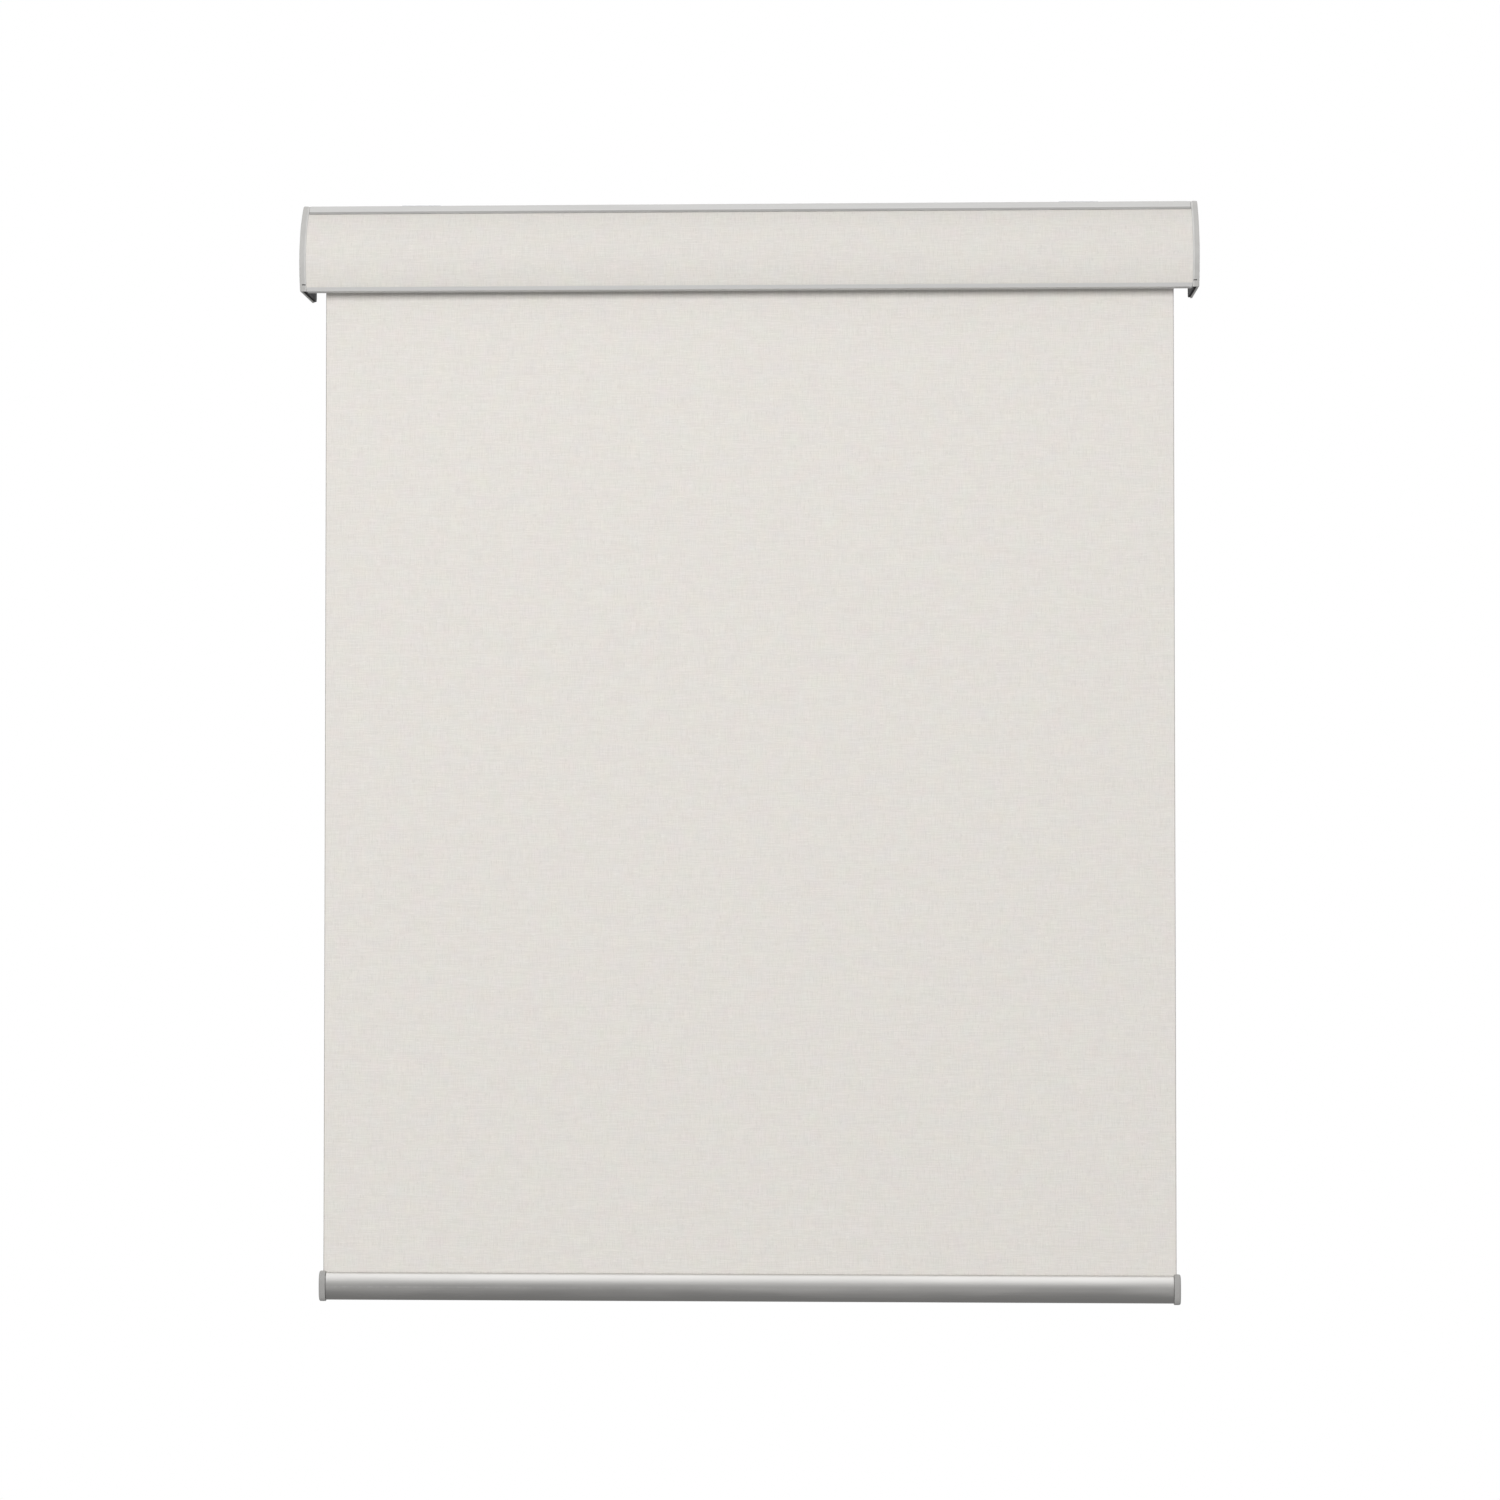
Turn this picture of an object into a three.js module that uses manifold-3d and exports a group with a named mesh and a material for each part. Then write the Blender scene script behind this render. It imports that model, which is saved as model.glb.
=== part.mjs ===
// A cordless roller blind in a curved cassette with a cloth-covered fascia.
// Millimetres, +Z up, +X to the right as a person in the room sees it, +Y towards the wall.
// The origin is where the ceiling plane, the wall plane and the blind's middle meet.
import * as THREE from "three";
import { mergeVertices } from "three/addons/utils/BufferGeometryUtils.js";
import Module from "manifold-3d";

const wasm = await Module();
wasm.setup();

// ---- Overall sizes -------------------------------------------------------------------
const blindWidth = 915; // over the outer faces of the two end covers
const headHeight = 91; // cassette, rail top to bottom lip
const headDepth = 86; // cassette, rear edge to the foremost point of the fascia
const clothDrop = 1000; // visible cloth, bottom lip to hem bar
const clothInset = 24.5; // outer face of an end cover to the edge of the cloth

// ---- Clearances ----------------------------------------------------------------------
const gap = 0.3; // between parts that touch
const runGap = 0.15; // radial, between a shaft and what turns on it

// ---- Cassette ------------------------------------------------------------------------
const topSetBack = 27; // how far the fascia's top edge lies behind its foremost point
const bulgeHeight = 30; // the foremost point, above the bottom lip
const railWall = 1.6;
const railFlange = 14; // height of the rear flange
const railFoot = 5;
const clipGroove = 4.2; // groove in the rail top for the clips' front hooks, width inside
const clipGrooveMouth = 2.6;
const clipGrooveDepth = 3.8;
const clipGrooveLip = 1.2;
const portBore = 1.7; // screw port
const portWall = 1.3;
const fasciaWall = 1.6;
const beadTop = 10.6; // plain aluminium band above the cloth insert
const beadBottom = 1.6; // and below it
const insertThick = 0.7;
const insertLip = 0.4; // overhang that holds the insert, thickness
const insertCatch = 2.6; // overhang that holds the insert, length
const fasciaFoot = 9; // inward ledge at the bottom lip
const fasciaShelf = 8; // tongue at the top that slides into the rail
const hookToe = 5;

// ---- End covers and brackets -----------------------------------------------------------
const coverPlate = 2.2;
const coverRim = 6.6; // width of the strip that frames the fascia
const coverStep = 5.2; // the outer, higher part of that strip
const rimThick = 2;
const stepDrop = 0.5;
const coverCorner = 4;
const bracketPlate = 2;
const bracketInset = 0.8;
const pegRadius = 2.5;
const pegProud = 1.2;
const notchWidth = 3.6; // release notch in the front strip
const notchHeight = 1;
const notchRise = 6;

// ---- Mounting clips --------------------------------------------------------------------
const clipPlate = 2;
const seatGap = 0.5; // between the clip's sheet and the rail
const clipWidth = 40;
const clipInset = 120; // clip centre, from the outer face of the end cover
const clipLeg = 24;
const clipHole = 2.4;
const clipHoleSpread = 26;
const clipHoleSet = 25; // ceiling holes, from the wall
const clipHoleDrop = 11; // wall holes, from the ceiling
const hookWidth = 18;
const hookSheet = 1.5;
const hookReach = 1.6;
const catchWidth = 14; // spring tab that clicks under the rail's rear foot
const catchSheet = 1.2;

// ---- Roller ------------------------------------------------------------------------------
const rollerSetBack = 43; // roller axis, in front of the cassette's rear edge
const rollerDrop = 37.5; // roller axis, below the rail top
const tubeRadius = 19;
const tubeWall = 1.2;
const tubeEndGap = 7; // tube end to bracket
const keyWidth = 4.4;
const keyDepth = 1.9;
const grooveWidth = 2.4;
const grooveDepth = 1.3;
const clothThick = 0.5;
const wrapTurns = 2.8; // turns of cloth on the tube when the blind is fully down
const flangeProud = 1.5; // end flanges, beyond the tube
const flangeThick = 3;
const plugLength = 22;

// ---- Spring unit and idle end --------------------------------------------------------------
const shaftRadius = 4;
const shaftLength = 302;
const hubRadius = 8;
const hubPast = 2; // the hub reaches this far past the crown that turns on it
const hubFlange = 14;
const hubFlangeThick = 2.6;
const tongueWidth = 4;
const tongueHeight = 11;
const springInner = 6;
const springOuter = 9.4;
const driveLength = 18;
const circlipThick = 1.2;
const circlipRadius = 6.5;
const circlipGroove = 0.8;
const pinRadius = 3;
const pinHead = 5.2;
const pinHeadThick = 3;
const pinTravel = 8;
const pocketRadius = 5.5;
const pocketWall = 5;
const capThick = 5;
const springSleeve = 1.4;
const bushRadius = 6;
const bushFlange = 8;
const bushFlangeThick = 1.3;

// ---- Hem bar ---------------------------------------------------------------------------------
const hemHeight = 28;
const hemDepth = 13;
const hemWall = 1.3;
const hemShort = 3; // how far the bar stops short of the cloth edge at each end
const hemSlot = 1.6;
const hemPocket = 9; // depth of the upper pocket, bar top to divider
const splineRadius = 1.7;
const hemCapWidth = 6.6;
const hemCapProud = 1.4;
const hemTongue = 14;
const clothTuck = 3; // how far the cloth enters the bar

// ---- Places worked out from the sizes -----------------------------------------------------------
const railTop = -(clipPlate + seatGap);
const headBottom = railTop - headHeight;
const headRear = -(clipPlate + seatGap);
const headFront = headRear - headDepth;
const archHeight = headHeight - bulgeHeight;
const frontRadius = (archHeight ** 2 + topSetBack ** 2) / (2 * topSetBack);
const archY = headFront + frontRadius;
const archZ = headBottom + bulgeHeight;
const topFrontY = headFront + topSetBack;
const halfWidth = blindWidth / 2;
const bracketOut = halfWidth - coverPlate - gap;
const bracketIn = bracketOut - bracketPlate;
const rimIn = halfWidth - coverRim;
const railEnd = bracketIn - gap;
const fasciaEnd = rimIn - gap;
const shelfTop = railTop - railWall - gap;
const hookY = topFrontY + fasciaShelf + 1; // front face of the rail's hook
const grooveFront = hookY + railWall;
const grooveBack = grooveFront + clipGroove;
const portReach = portBore + portWall - 0.4;
const rearPort = [headRear - railWall - portReach, railTop - railWall - portReach];
const frontPort = [grooveBack + railWall + portReach, railTop - railWall - portReach];
const axisY = headRear - rollerSetBack;
const axisZ = railTop - rollerDrop;
const tubeEnd = bracketIn - tubeEndGap;
const tubeBore = tubeRadius - tubeWall;
const flangeRadius = tubeRadius + flangeProud;
const wrapInner = tubeRadius + 0.2;
const wrapOuter = wrapInner + clothThick * wrapTurns;
const clothHalf = halfWidth - clothInset;
const clothY = axisY - wrapOuter - gap - clothThick / 2;
const crownInside = -(tubeEnd - plugLength);
const hubInside = crownInside + hubPast;
const hemTop = headBottom - clothDrop;
const hemMiddle = hemTop - hemHeight / 2;
const hemEnd = clothHalf - hemShort;
const roundSteps = 36;
const arcStep = Math.PI / 36;

// ---- Finishes ---------------------------------------------------------------------------------
const finishes = {
  aluminium: { color: 0xcfcecb, roughness: 0.38, metalness: 0.85 },
  satinAluminium: { color: 0xb9b7b4, roughness: 0.32, metalness: 0.9 },
  greyPlastic: { color: 0xc6c5c1, roughness: 0.5, metalness: 0 },
  blackSteel: { color: 0x161616, roughness: 0.45, metalness: 0.4 },
  zincSteel: { color: 0xb4b6b8, roughness: 0.35, metalness: 0.9 },
  whitePlastic: { color: 0xe7e6e1, roughness: 0.45, metalness: 0 },
  cloth: { color: 0xe0dcd3, roughness: 0.95, metalness: 0 },
};

// ---- Solid helpers -----------------------------------------------------------------------------
function toSolid(geometry) {
  const bare = geometry.clone();
  bare.deleteAttribute("normal");
  bare.deleteAttribute("uv");
  const merged = mergeVertices(bare, 1e-4);
  return new wasm.Manifold(
    new wasm.Mesh({
      numProp: 3,
      vertProperties: new Float32Array(merged.attributes.position.array),
      triVerts: new Uint32Array(merged.index.array),
    }),
  );
}

function toGeometry(solid) {
  const mesh = solid.getMesh();
  const geometry = new THREE.BufferGeometry();
  geometry.setAttribute("position", new THREE.BufferAttribute(mesh.vertProperties, 3));
  geometry.setIndex(new THREE.BufferAttribute(mesh.triVerts, 1));
  return geometry;
}

function join(...geometries) {
  return toGeometry(geometries.map(toSolid).reduce((all, one) => all.add(one)));
}

function cut(base, ...tools) {
  return toGeometry(tools.map(toSolid).reduce((rest, one) => rest.subtract(one), toSolid(base)));
}

// Sections are drawn in the Y-Z plane and run along X from x0 to x1.
function alongX(shape, x0, x1) {
  const length = Math.abs(x1 - x0);
  const geometry = new THREE.ExtrudeGeometry(shape, { depth: length, bevelEnabled: false, curveSegments: 12 });
  const turn = new THREE.Matrix4().makeBasis(
    new THREE.Vector3(0, 1, 0),
    new THREE.Vector3(0, 0, 1),
    new THREE.Vector3(1, 0, 0),
  );
  return geometry.applyMatrix4(turn).translate(Math.min(x0, x1), 0, 0);
}

function polygon(points) {
  return new THREE.Shape(points.map(([y, z]) => new THREE.Vector2(y, z)));
}

function rectangle(y0, y1, z0, z1) {
  return polygon([[y0, z0], [y1, z0], [y1, z1], [y0, z1]]);
}

function block(x0, x1, y0, y1, z0, z1) {
  return alongX(rectangle(y0, y1, z0, z1), x0, x1);
}

function disc(y, z, radius) {
  const ring = [];
  for (let step = 0; step < roundSteps; step += 1) {
    const angle = (2 * Math.PI * step) / roundSteps;
    ring.push([y + radius * Math.cos(angle), z + radius * Math.sin(angle)]);
  }
  return polygon(ring);
}

function rod(x0, x1, y, z, radius) {
  return alongX(disc(y, z, radius), x0, x1);
}

function sleeve(x0, x1, y, z, inner, outer) {
  return cut(rod(x0, x1, y, z, outer), rod(x0 - 1, x1 + 1, y, z, inner));
}

// A solid round part on the roller axis: [distance along X, radius] points from axis to axis.
function turnedBar(outline) {
  const profile = outline.map(([x, radius]) => new THREE.Vector2(radius, x));
  return new THREE.LatheGeometry(profile, roundSteps).rotateZ(-Math.PI / 2).translate(0, axisY, axisZ);
}

// A bored round part on the roller axis: its outline closes on itself.
function turnedRing(outline) {
  return turnedBar([...outline, outline[0]]);
}

// A countersunk screw along X with its head's flat face at x0 and its point at x1.
function screw(x0, x1, y, z) {
  const length = Math.abs(x1 - x0);
  const outline = [[0, 0], [3.1, 0], [1.45, 1.7], [1.45, length - 2], [0, length]];
  const profile = outline.map(([radius, along]) => new THREE.Vector2(radius, along));
  const turn = x1 > x0 ? -Math.PI / 2 : Math.PI / 2;
  return new THREE.LatheGeometry(profile, 20).rotateZ(turn).translate(x0, y, z);
}

function countersink(x0, way, y, z) {
  const head = new THREE.CylinderGeometry(3.4, 1.75, 1.8, 20).rotateZ(way * Math.PI / 2);
  return join(
    head.translate(x0 + way * 0.9, y, z),
    rod(Math.min(x0, x0 + way * 4), Math.max(x0, x0 + way * 4), y, z, 1.75),
  );
}

// ---- Curves of the cassette's front ----------------------------------------------------------------
function archAngle(z, radius) {
  return Math.asin((z - archZ) / radius);
}

function archPoint(radius, angle) {
  return [archY - radius * Math.cos(angle), archZ + radius * Math.sin(angle)];
}

function archCurve(radius, from, to) {
  const steps = Math.ceil(Math.abs(to - from) / arcStep);
  const points = [];
  for (let step = 0; step <= steps; step += 1) {
    points.push(archPoint(radius, from + ((to - from) * step) / steps));
  }
  return points;
}

function archBand(inner, outer, from, to) {
  return polygon([...archCurve(outer, from, to), ...archCurve(inner, to, from)]);
}

// The cassette seen from its end: straight at the back, top and bottom, curved at the front.
function endOutline(radius, inset) {
  const top = archAngle(railTop - inset, radius);
  const bottom = archAngle(headBottom + inset, radius);
  const points = archCurve(radius, top, bottom);
  for (let step = 0; step <= 5; step += 1) {
    const angle = -Math.PI / 2 + (Math.PI / 2 * step) / 5;
    const y = headRear - inset - coverCorner + coverCorner * Math.cos(angle);
    points.push([y, headBottom + inset + coverCorner + coverCorner * Math.sin(angle)]);
  }
  points.push([headRear - inset, railTop - inset]);
  return polygon(points);
}

const topAngle = archAngle(railTop, frontRadius);
const bottomAngle = archAngle(headBottom, frontRadius);
const insertDepth = insertLip + insertThick + 2 * gap; // from the fascia's outer curve to its web
const webOuter = frontRadius - insertDepth;
const webInner = webOuter - fasciaWall;

// ---- Cassette parts ------------------------------------------------------------------------------
function headRail() {
  const floor = railTop - clipGrooveDepth;
  const under = railTop - railWall;
  const toeTop = shelfTop - fasciaWall - gap;
  const profiles = [
    rectangle(topFrontY + 3, headRear, under, railTop),
    rectangle(headRear - railWall, headRear, railTop - railFlange, railTop),
    rectangle(headRear - railFoot, headRear, railTop - railFlange, railTop - railFlange + railWall),
    rectangle(hookY, grooveBack + railWall, floor - railWall, railTop),
    rectangle(hookY, grooveFront, toeTop - railWall, railTop),
    rectangle(hookY - hookToe, grooveFront, toeTop - railWall, toeTop),
    disc(...rearPort, portBore + portWall),
    disc(...frontPort, portBore + portWall),
  ];
  const body = join(...profiles.map((profile) => alongX(profile, -railEnd, railEnd)));
  const reach = railEnd + 1;
  return cut(
    body,
    block(-reach, reach, grooveFront, grooveBack, floor, railTop - clipGrooveLip),
    block(-reach, reach, grooveBack - clipGrooveMouth, grooveBack, floor + 1, railTop + 1),
    rod(-reach, reach, ...rearPort, portBore),
    rod(-reach, reach, ...frontPort, portBore),
  );
}

// One extrusion: plain bands above and below, a groove whose lips hold the insert, an inward
// ledge at the bottom and a tongue at the top.
function fasciaPanel() {
  const lipInner = frontRadius - insertLip;
  const catchAngle = insertCatch / frontRadius;
  const upperEdge = topAngle - beadTop / frontRadius;
  const lowerEdge = bottomAngle + beadBottom / frontRadius;
  const ledgeTop = headBottom + fasciaWall;
  const ledgeEnd = archPoint(webInner, bottomAngle)[0] + fasciaFoot;
  const tongueBottom = shelfTop - fasciaWall;
  const tongueTip = topFrontY + fasciaShelf;
  const outline = [
    ...archCurve(frontRadius, topAngle, upperEdge - catchAngle),
    ...archCurve(lipInner, upperEdge - catchAngle, upperEdge),
    ...archCurve(webOuter, upperEdge, lowerEdge),
    ...archCurve(lipInner, lowerEdge, lowerEdge + catchAngle),
    ...archCurve(frontRadius, lowerEdge + catchAngle, bottomAngle),
    [ledgeEnd, headBottom],
    [ledgeEnd, ledgeTop],
    ...archCurve(webInner, archAngle(ledgeTop, webInner), archAngle(tongueBottom, webInner)),
    [tongueTip, tongueBottom],
    [tongueTip, shelfTop],
    archPoint((shelfTop - archZ) / Math.sin(topAngle), topAngle),
  ];
  return alongX(polygon(outline), -fasciaEnd, fasciaEnd);
}

function fasciaFabric() {
  const outer = frontRadius - insertLip - gap;
  const from = topAngle - (beadTop + gap) / frontRadius;
  const to = bottomAngle + (beadBottom + gap) / frontRadius;
  const end = fasciaEnd - 0.5;
  return alongX(archBand(outer - insertThick, outer, from, to), -end, end);
}

// Places of the pegs that hold an end cover on its bracket.
function pegPlaces() {
  return [
    [headRear - 16, headBottom + 12],
    [archPoint(frontRadius, 0)[0] + 14, archZ],
    [headRear - 10, axisZ + 2],
  ];
}

function endCover(side) {
  const outer = side * halfWidth;
  const inner = side * (halfWidth - coverPlate);
  const step = side * (halfWidth - coverStep);
  const rim = side * rimIn;
  const rimRadius = frontRadius - rimThick;
  const pegEnd = side * (bracketIn - pegProud);
  const notchTop = headBottom + notchRise + notchHeight;
  const notchIn = side * (rimIn + 0.6);
  const notchOut = side * (rimIn + 0.6 + notchWidth);
  const body = join(
    alongX(endOutline(frontRadius, 0), outer, inner),
    alongX(archBand(rimRadius, frontRadius, topAngle, bottomAngle), outer, step),
    alongX(archBand(rimRadius, frontRadius - stepDrop, topAngle, bottomAngle), outer, rim),
    ...pegPlaces().map(([y, z]) => rod(Math.min(inner, pegEnd), Math.max(inner, pegEnd), y, z, pegRadius)),
  );
  const [frontY] = archPoint(frontRadius, bottomAngle);
  return cut(body, block(notchIn, notchOut, frontY - 6, frontY + 0.9, headBottom + notchRise, notchTop));
}

function endBracket(side) {
  const outline = endOutline(frontRadius - rimThick - gap, bracketInset);
  const outside = side * bracketOut;
  const inside = side * bracketIn;
  const near = Math.min(inside, outside) - 1;
  const far = Math.max(inside, outside) + 1;
  const seat =
    side < 0
      ? block(near, far, axisY - tongueWidth / 2 - gap, axisY + tongueWidth / 2 + gap,
        axisZ - tongueHeight / 2 - gap, axisZ + tongueHeight / 2 + gap)
      : rod(near, far, axisY, axisZ, bushRadius + runGap);
  return cut(
    alongX(outline, inside, outside),
    seat,
    ...pegPlaces().map(([y, z]) => rod(near, far, y, z, pegRadius + gap)),
    ...[rearPort, frontPort].map(([y, z]) => countersink(outside, -side, y, z)),
  );
}

function bracketScrew(side, port) {
  return screw(side * (bracketOut - 0.2), side * (bracketOut - 12), ...port);
}

// A spring-steel clip: a sheet on the ceiling, a leg on the wall, a front hook in the rail's groove
// and a rear catch under the rail's foot.
function mountingClip(centre) {
  const left = centre - clipWidth / 2;
  const right = centre + clipWidth / 2;
  const hookBack = grooveBack - (clipGrooveMouth - hookSheet) / 2;
  const hookFront = hookBack - hookSheet;
  const toeTop = railTop - clipGrooveLip - 0.4;
  const toeBottom = toeTop - hookSheet;
  const hookLeft = centre - hookWidth / 2;
  const hookRight = centre + hookWidth / 2;
  const catchTop = railTop - railFlange - 0.4;
  const catchBottom = catchTop - catchSheet;
  const catchFront = headRear - railFoot - 0.4 - catchSheet;
  const catchLeft = centre - catchWidth / 2;
  const catchRight = centre + catchWidth / 2;
  const holes = [-1, 1].flatMap((way) => {
    const x = centre + (way * clipHoleSpread) / 2;
    return [
      new THREE.CylinderGeometry(clipHole, clipHole, clipPlate + 4, 20)
        .rotateX(Math.PI / 2).translate(x, -clipHoleSet, -clipPlate / 2),
      new THREE.CylinderGeometry(clipHole, clipHole, clipPlate + 4, 20)
        .translate(x, -clipPlate / 2, -clipHoleDrop),
    ];
  });
  const sheet = join(
    block(left, right, hookFront - 2, 0, -clipPlate, 0),
    block(left, right, -clipPlate, 0, -clipLeg, 0),
    block(hookLeft, hookRight, hookFront, hookBack, toeBottom, -clipPlate / 2),
    block(hookLeft, hookRight, hookFront - hookReach, hookBack, toeBottom, toeTop),
    block(catchLeft, catchRight, catchFront, -clipPlate / 2, catchBottom, catchTop),
    block(catchLeft, catchRight, catchFront, catchFront + catchSheet, catchBottom, catchTop + catchSheet),
  );
  return cut(sheet, ...holes);
}

// ---- Roller and its ends ---------------------------------------------------------------------------
function rollerTube() {
  const reach = tubeEnd + 1;
  const keyTop = axisZ + tubeRadius - 0.2;
  const keyBottom = axisZ + tubeBore - keyDepth;
  const wall = cut(rod(-tubeEnd, tubeEnd, axisY, axisZ, tubeRadius), rod(-reach, reach, axisY, axisZ, tubeBore));
  const keyed = join(wall, block(-tubeEnd, tubeEnd, axisY - keyWidth / 2, axisY + keyWidth / 2, keyBottom, keyTop));
  const grooveFloor = axisZ + tubeRadius - grooveDepth;
  return cut(
    keyed,
    block(-reach, reach, axisY - grooveWidth / 2, axisY + grooveWidth / 2, grooveFloor, axisZ + tubeRadius + 1),
  );
}

function tubeSpline() {
  const half = grooveWidth / 2 - gap;
  const floor = axisZ + tubeRadius - grooveDepth + gap;
  return block(-clothHalf, clothHalf, axisY - half, axisY + half, floor, axisZ + tubeRadius - 0.2);
}

function clothWraps() {
  return sleeve(-clothHalf, clothHalf, axisY, axisZ, wrapInner, wrapOuter);
}

// The keyway that lets a plug slide over the tube's inner key.
function keyway(x0, x1) {
  const half = keyWidth / 2 + gap;
  return block(x0, x1, axisY - half, axisY + half, axisZ + tubeBore - keyDepth - gap, axisZ + tubeBore + 1);
}

function springCrown() {
  const plug = tubeBore - gap;
  const bore = hubRadius + runGap;
  const outside = -(tubeEnd + flangeThick + gap);
  const shoulder = -(tubeEnd + gap);
  const body = turnedRing([[crownInside, bore], [outside, bore], [outside, flangeRadius],
    [shoulder, flangeRadius], [shoulder, plug], [crownInside, plug]]);
  return cut(body, keyway(shoulder + gap, crownInside + 1));
}

function springAnchor() {
  const flangeOut = -(bracketIn - gap);
  const flangeIn = flangeOut + hubFlangeThick;
  const bore = shaftRadius + runGap;
  const body = turnedRing([[hubInside, bore], [flangeOut, bore], [flangeOut, hubFlange], [flangeIn, hubFlange],
    [flangeIn, hubRadius], [hubInside, hubRadius]]);
  const tongue = block(-(bracketOut - 0.3), flangeOut + 1, axisY - tongueWidth / 2, axisY + tongueWidth / 2,
    axisZ - tongueHeight / 2, axisZ + tongueHeight / 2);
  return cut(join(body, tongue), rod(-bracketOut - 1, hubInside + 1, axisY, axisZ, bore));
}

const shaftStart = -(bracketIn - gap);
const shaftStop = shaftStart + shaftLength;
const driveEnd = shaftStop - 2 * circlipThick - 2 * gap;

function springShaft() {
  const neck = shaftRadius - circlipGroove;
  const grooveStart = driveEnd;
  const grooveStop = driveEnd + circlipThick + 2 * gap;
  return turnedBar([[shaftStart, 0], [shaftStart, shaftRadius], [grooveStart, shaftRadius],
    [grooveStart, neck], [grooveStop, neck], [grooveStop, shaftRadius], [shaftStop, shaftRadius], [shaftStop, 0]]);
}

function shaftClip() {
  const start = driveEnd + gap;
  return sleeve(start, start + circlipThick, axisY, axisZ, shaftRadius - circlipGroove + runGap, circlipRadius);
}

function liftSpring() {
  const start = hubInside + gap;
  const stop = driveEnd - driveLength - 2 * gap;
  return sleeve(start, stop, axisY, axisZ, springInner, springOuter);
}

function springDrivePlug() {
  const plug = tubeBore - gap;
  const start = driveEnd - driveLength - gap;
  const stop = driveEnd - gap;
  const body = sleeve(start, stop, axisY, axisZ, shaftRadius + runGap, plug);
  return cut(body, keyway(start - 1, stop + 1));
}

// Idle end: the plug holds a sprung pin that a nylon bush in the right bracket receives.
const idleOut = tubeEnd + flangeThick + gap;
const pocketFront = idleOut - pocketWall;
const pinHeadFront = pocketFront - gap;
const pinHeadBack = pinHeadFront - pinHeadThick;
const springBack = pinHeadBack - pinTravel - 7;
const capStart = springBack - gap - capThick;

function idlePlug() {
  const plug = tubeBore - gap;
  const bore = pinRadius + runGap;
  const shoulder = tubeEnd + gap;
  const body = turnedRing([[idleOut, bore], [pocketFront, bore], [pocketFront, pocketRadius],
    [capStart, pocketRadius], [capStart, plug], [shoulder, plug], [shoulder, flangeRadius], [idleOut, flangeRadius]]);
  return cut(body, keyway(capStart - 1, shoulder - gap));
}

function idlePlugCap() {
  return rod(capStart, capStart + capThick, axisY, axisZ, pocketRadius - runGap);
}

function pinSpring() {
  const outer = pinHead - 0.2;
  return sleeve(springBack, pinHeadBack - gap, axisY, axisZ, outer - springSleeve, outer);
}

function idlePin() {
  const end = bracketOut - 0.2;
  return turnedBar([[pinHeadBack, 0], [pinHeadBack, pinHead], [pinHeadFront, pinHead],
    [pinHeadFront, pinRadius], [end - 1, pinRadius], [end, pinRadius - 1], [end, 0]]);
}

function idleBush() {
  const flangeOut = bracketIn - gap;
  const flangeIn = flangeOut - bushFlangeThick;
  const bore = pinRadius + runGap;
  return turnedRing([[bracketOut, bore], [flangeIn, bore], [flangeIn, bushFlange], [flangeOut, bushFlange],
    [flangeOut, bushRadius], [bracketOut, bushRadius]]);
}

// ---- Cloth and hem bar -------------------------------------------------------------------------------
function clothSheet() {
  const half = clothThick / 2;
  return block(-clothHalf, clothHalf, clothY - half, clothY + half, hemTop - clothTuck, axisZ);
}

// The bar's rounded section, grown or shrunk by an offset.
function hemOutline(offset) {
  const across = hemDepth / 2 + offset;
  const tall = hemHeight / 2 + offset;
  const points = [];
  const squareness = 0.8; // 1 is an ellipse, less is squarer
  for (let step = 0; step < roundSteps; step += 1) {
    const angle = (2 * Math.PI * step) / roundSteps;
    const y = Math.sign(Math.cos(angle)) * Math.abs(Math.cos(angle)) ** squareness;
    const z = Math.sign(Math.sin(angle)) * Math.abs(Math.sin(angle)) ** squareness;
    points.push([clothY + across * y, hemMiddle + tall * z]);
  }
  return polygon(points);
}

function hemBar() {
  const divider = hemTop - hemPocket;
  const reach = hemEnd + 1;
  const hollow = cut(alongX(hemOutline(0), -hemEnd, hemEnd), alongX(hemOutline(-hemWall), -reach, reach));
  const ribbed = join(
    hollow,
    block(-hemEnd, hemEnd, clothY - hemDepth / 2 + 0.6, clothY + hemDepth / 2 - 0.6, divider - hemWall, divider),
  );
  const slotted = block(-reach, reach, clothY - hemSlot / 2, clothY + hemSlot / 2, hemTop - 4, hemTop + 2);
  return cut(ribbed, slotted);
}

function hemSpline() {
  return rod(-hemEnd + 16, hemEnd - 16, clothY, hemTop - clothTuck - gap - splineRadius, splineRadius);
}

function hemCap(side) {
  const inner = side * (hemEnd + gap);
  const outer = side * (hemEnd + gap + hemCapWidth);
  const tongueEnd = side * (hemEnd - hemTongue);
  const slotEnd = side * (clothHalf + gap);
  const below = hemTop - hemPocket - hemWall - gap;
  const plug = block(inner, tongueEnd, clothY - hemDepth, clothY + hemDepth, hemMiddle - hemHeight, below);
  const tongue = toGeometry(
    toSolid(alongX(hemOutline(-hemWall - gap), side * (hemEnd + 1), tongueEnd)).intersect(
      toSolid(join(plug, block(inner, side * (hemEnd + 1), clothY - hemDepth, clothY + hemDepth,
        hemMiddle - hemHeight, below))),
    ),
  );
  const slotHalf = hemSlot / 2;
  const slot = block(side * hemEnd, slotEnd, clothY - slotHalf, clothY + slotHalf, hemTop - clothTuck - gap,
    hemTop + hemCapProud + 1);
  return cut(join(alongX(hemOutline(hemCapProud), inner, outer), tongue), slot);
}

// ---- Assembly ------------------------------------------------------------------------------------------
function piece(name, finish, geometry) {
  const mesh = new THREE.Mesh(geometry, new THREE.MeshStandardMaterial(finishes[finish]));
  mesh.name = name;
  return mesh;
}

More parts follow.
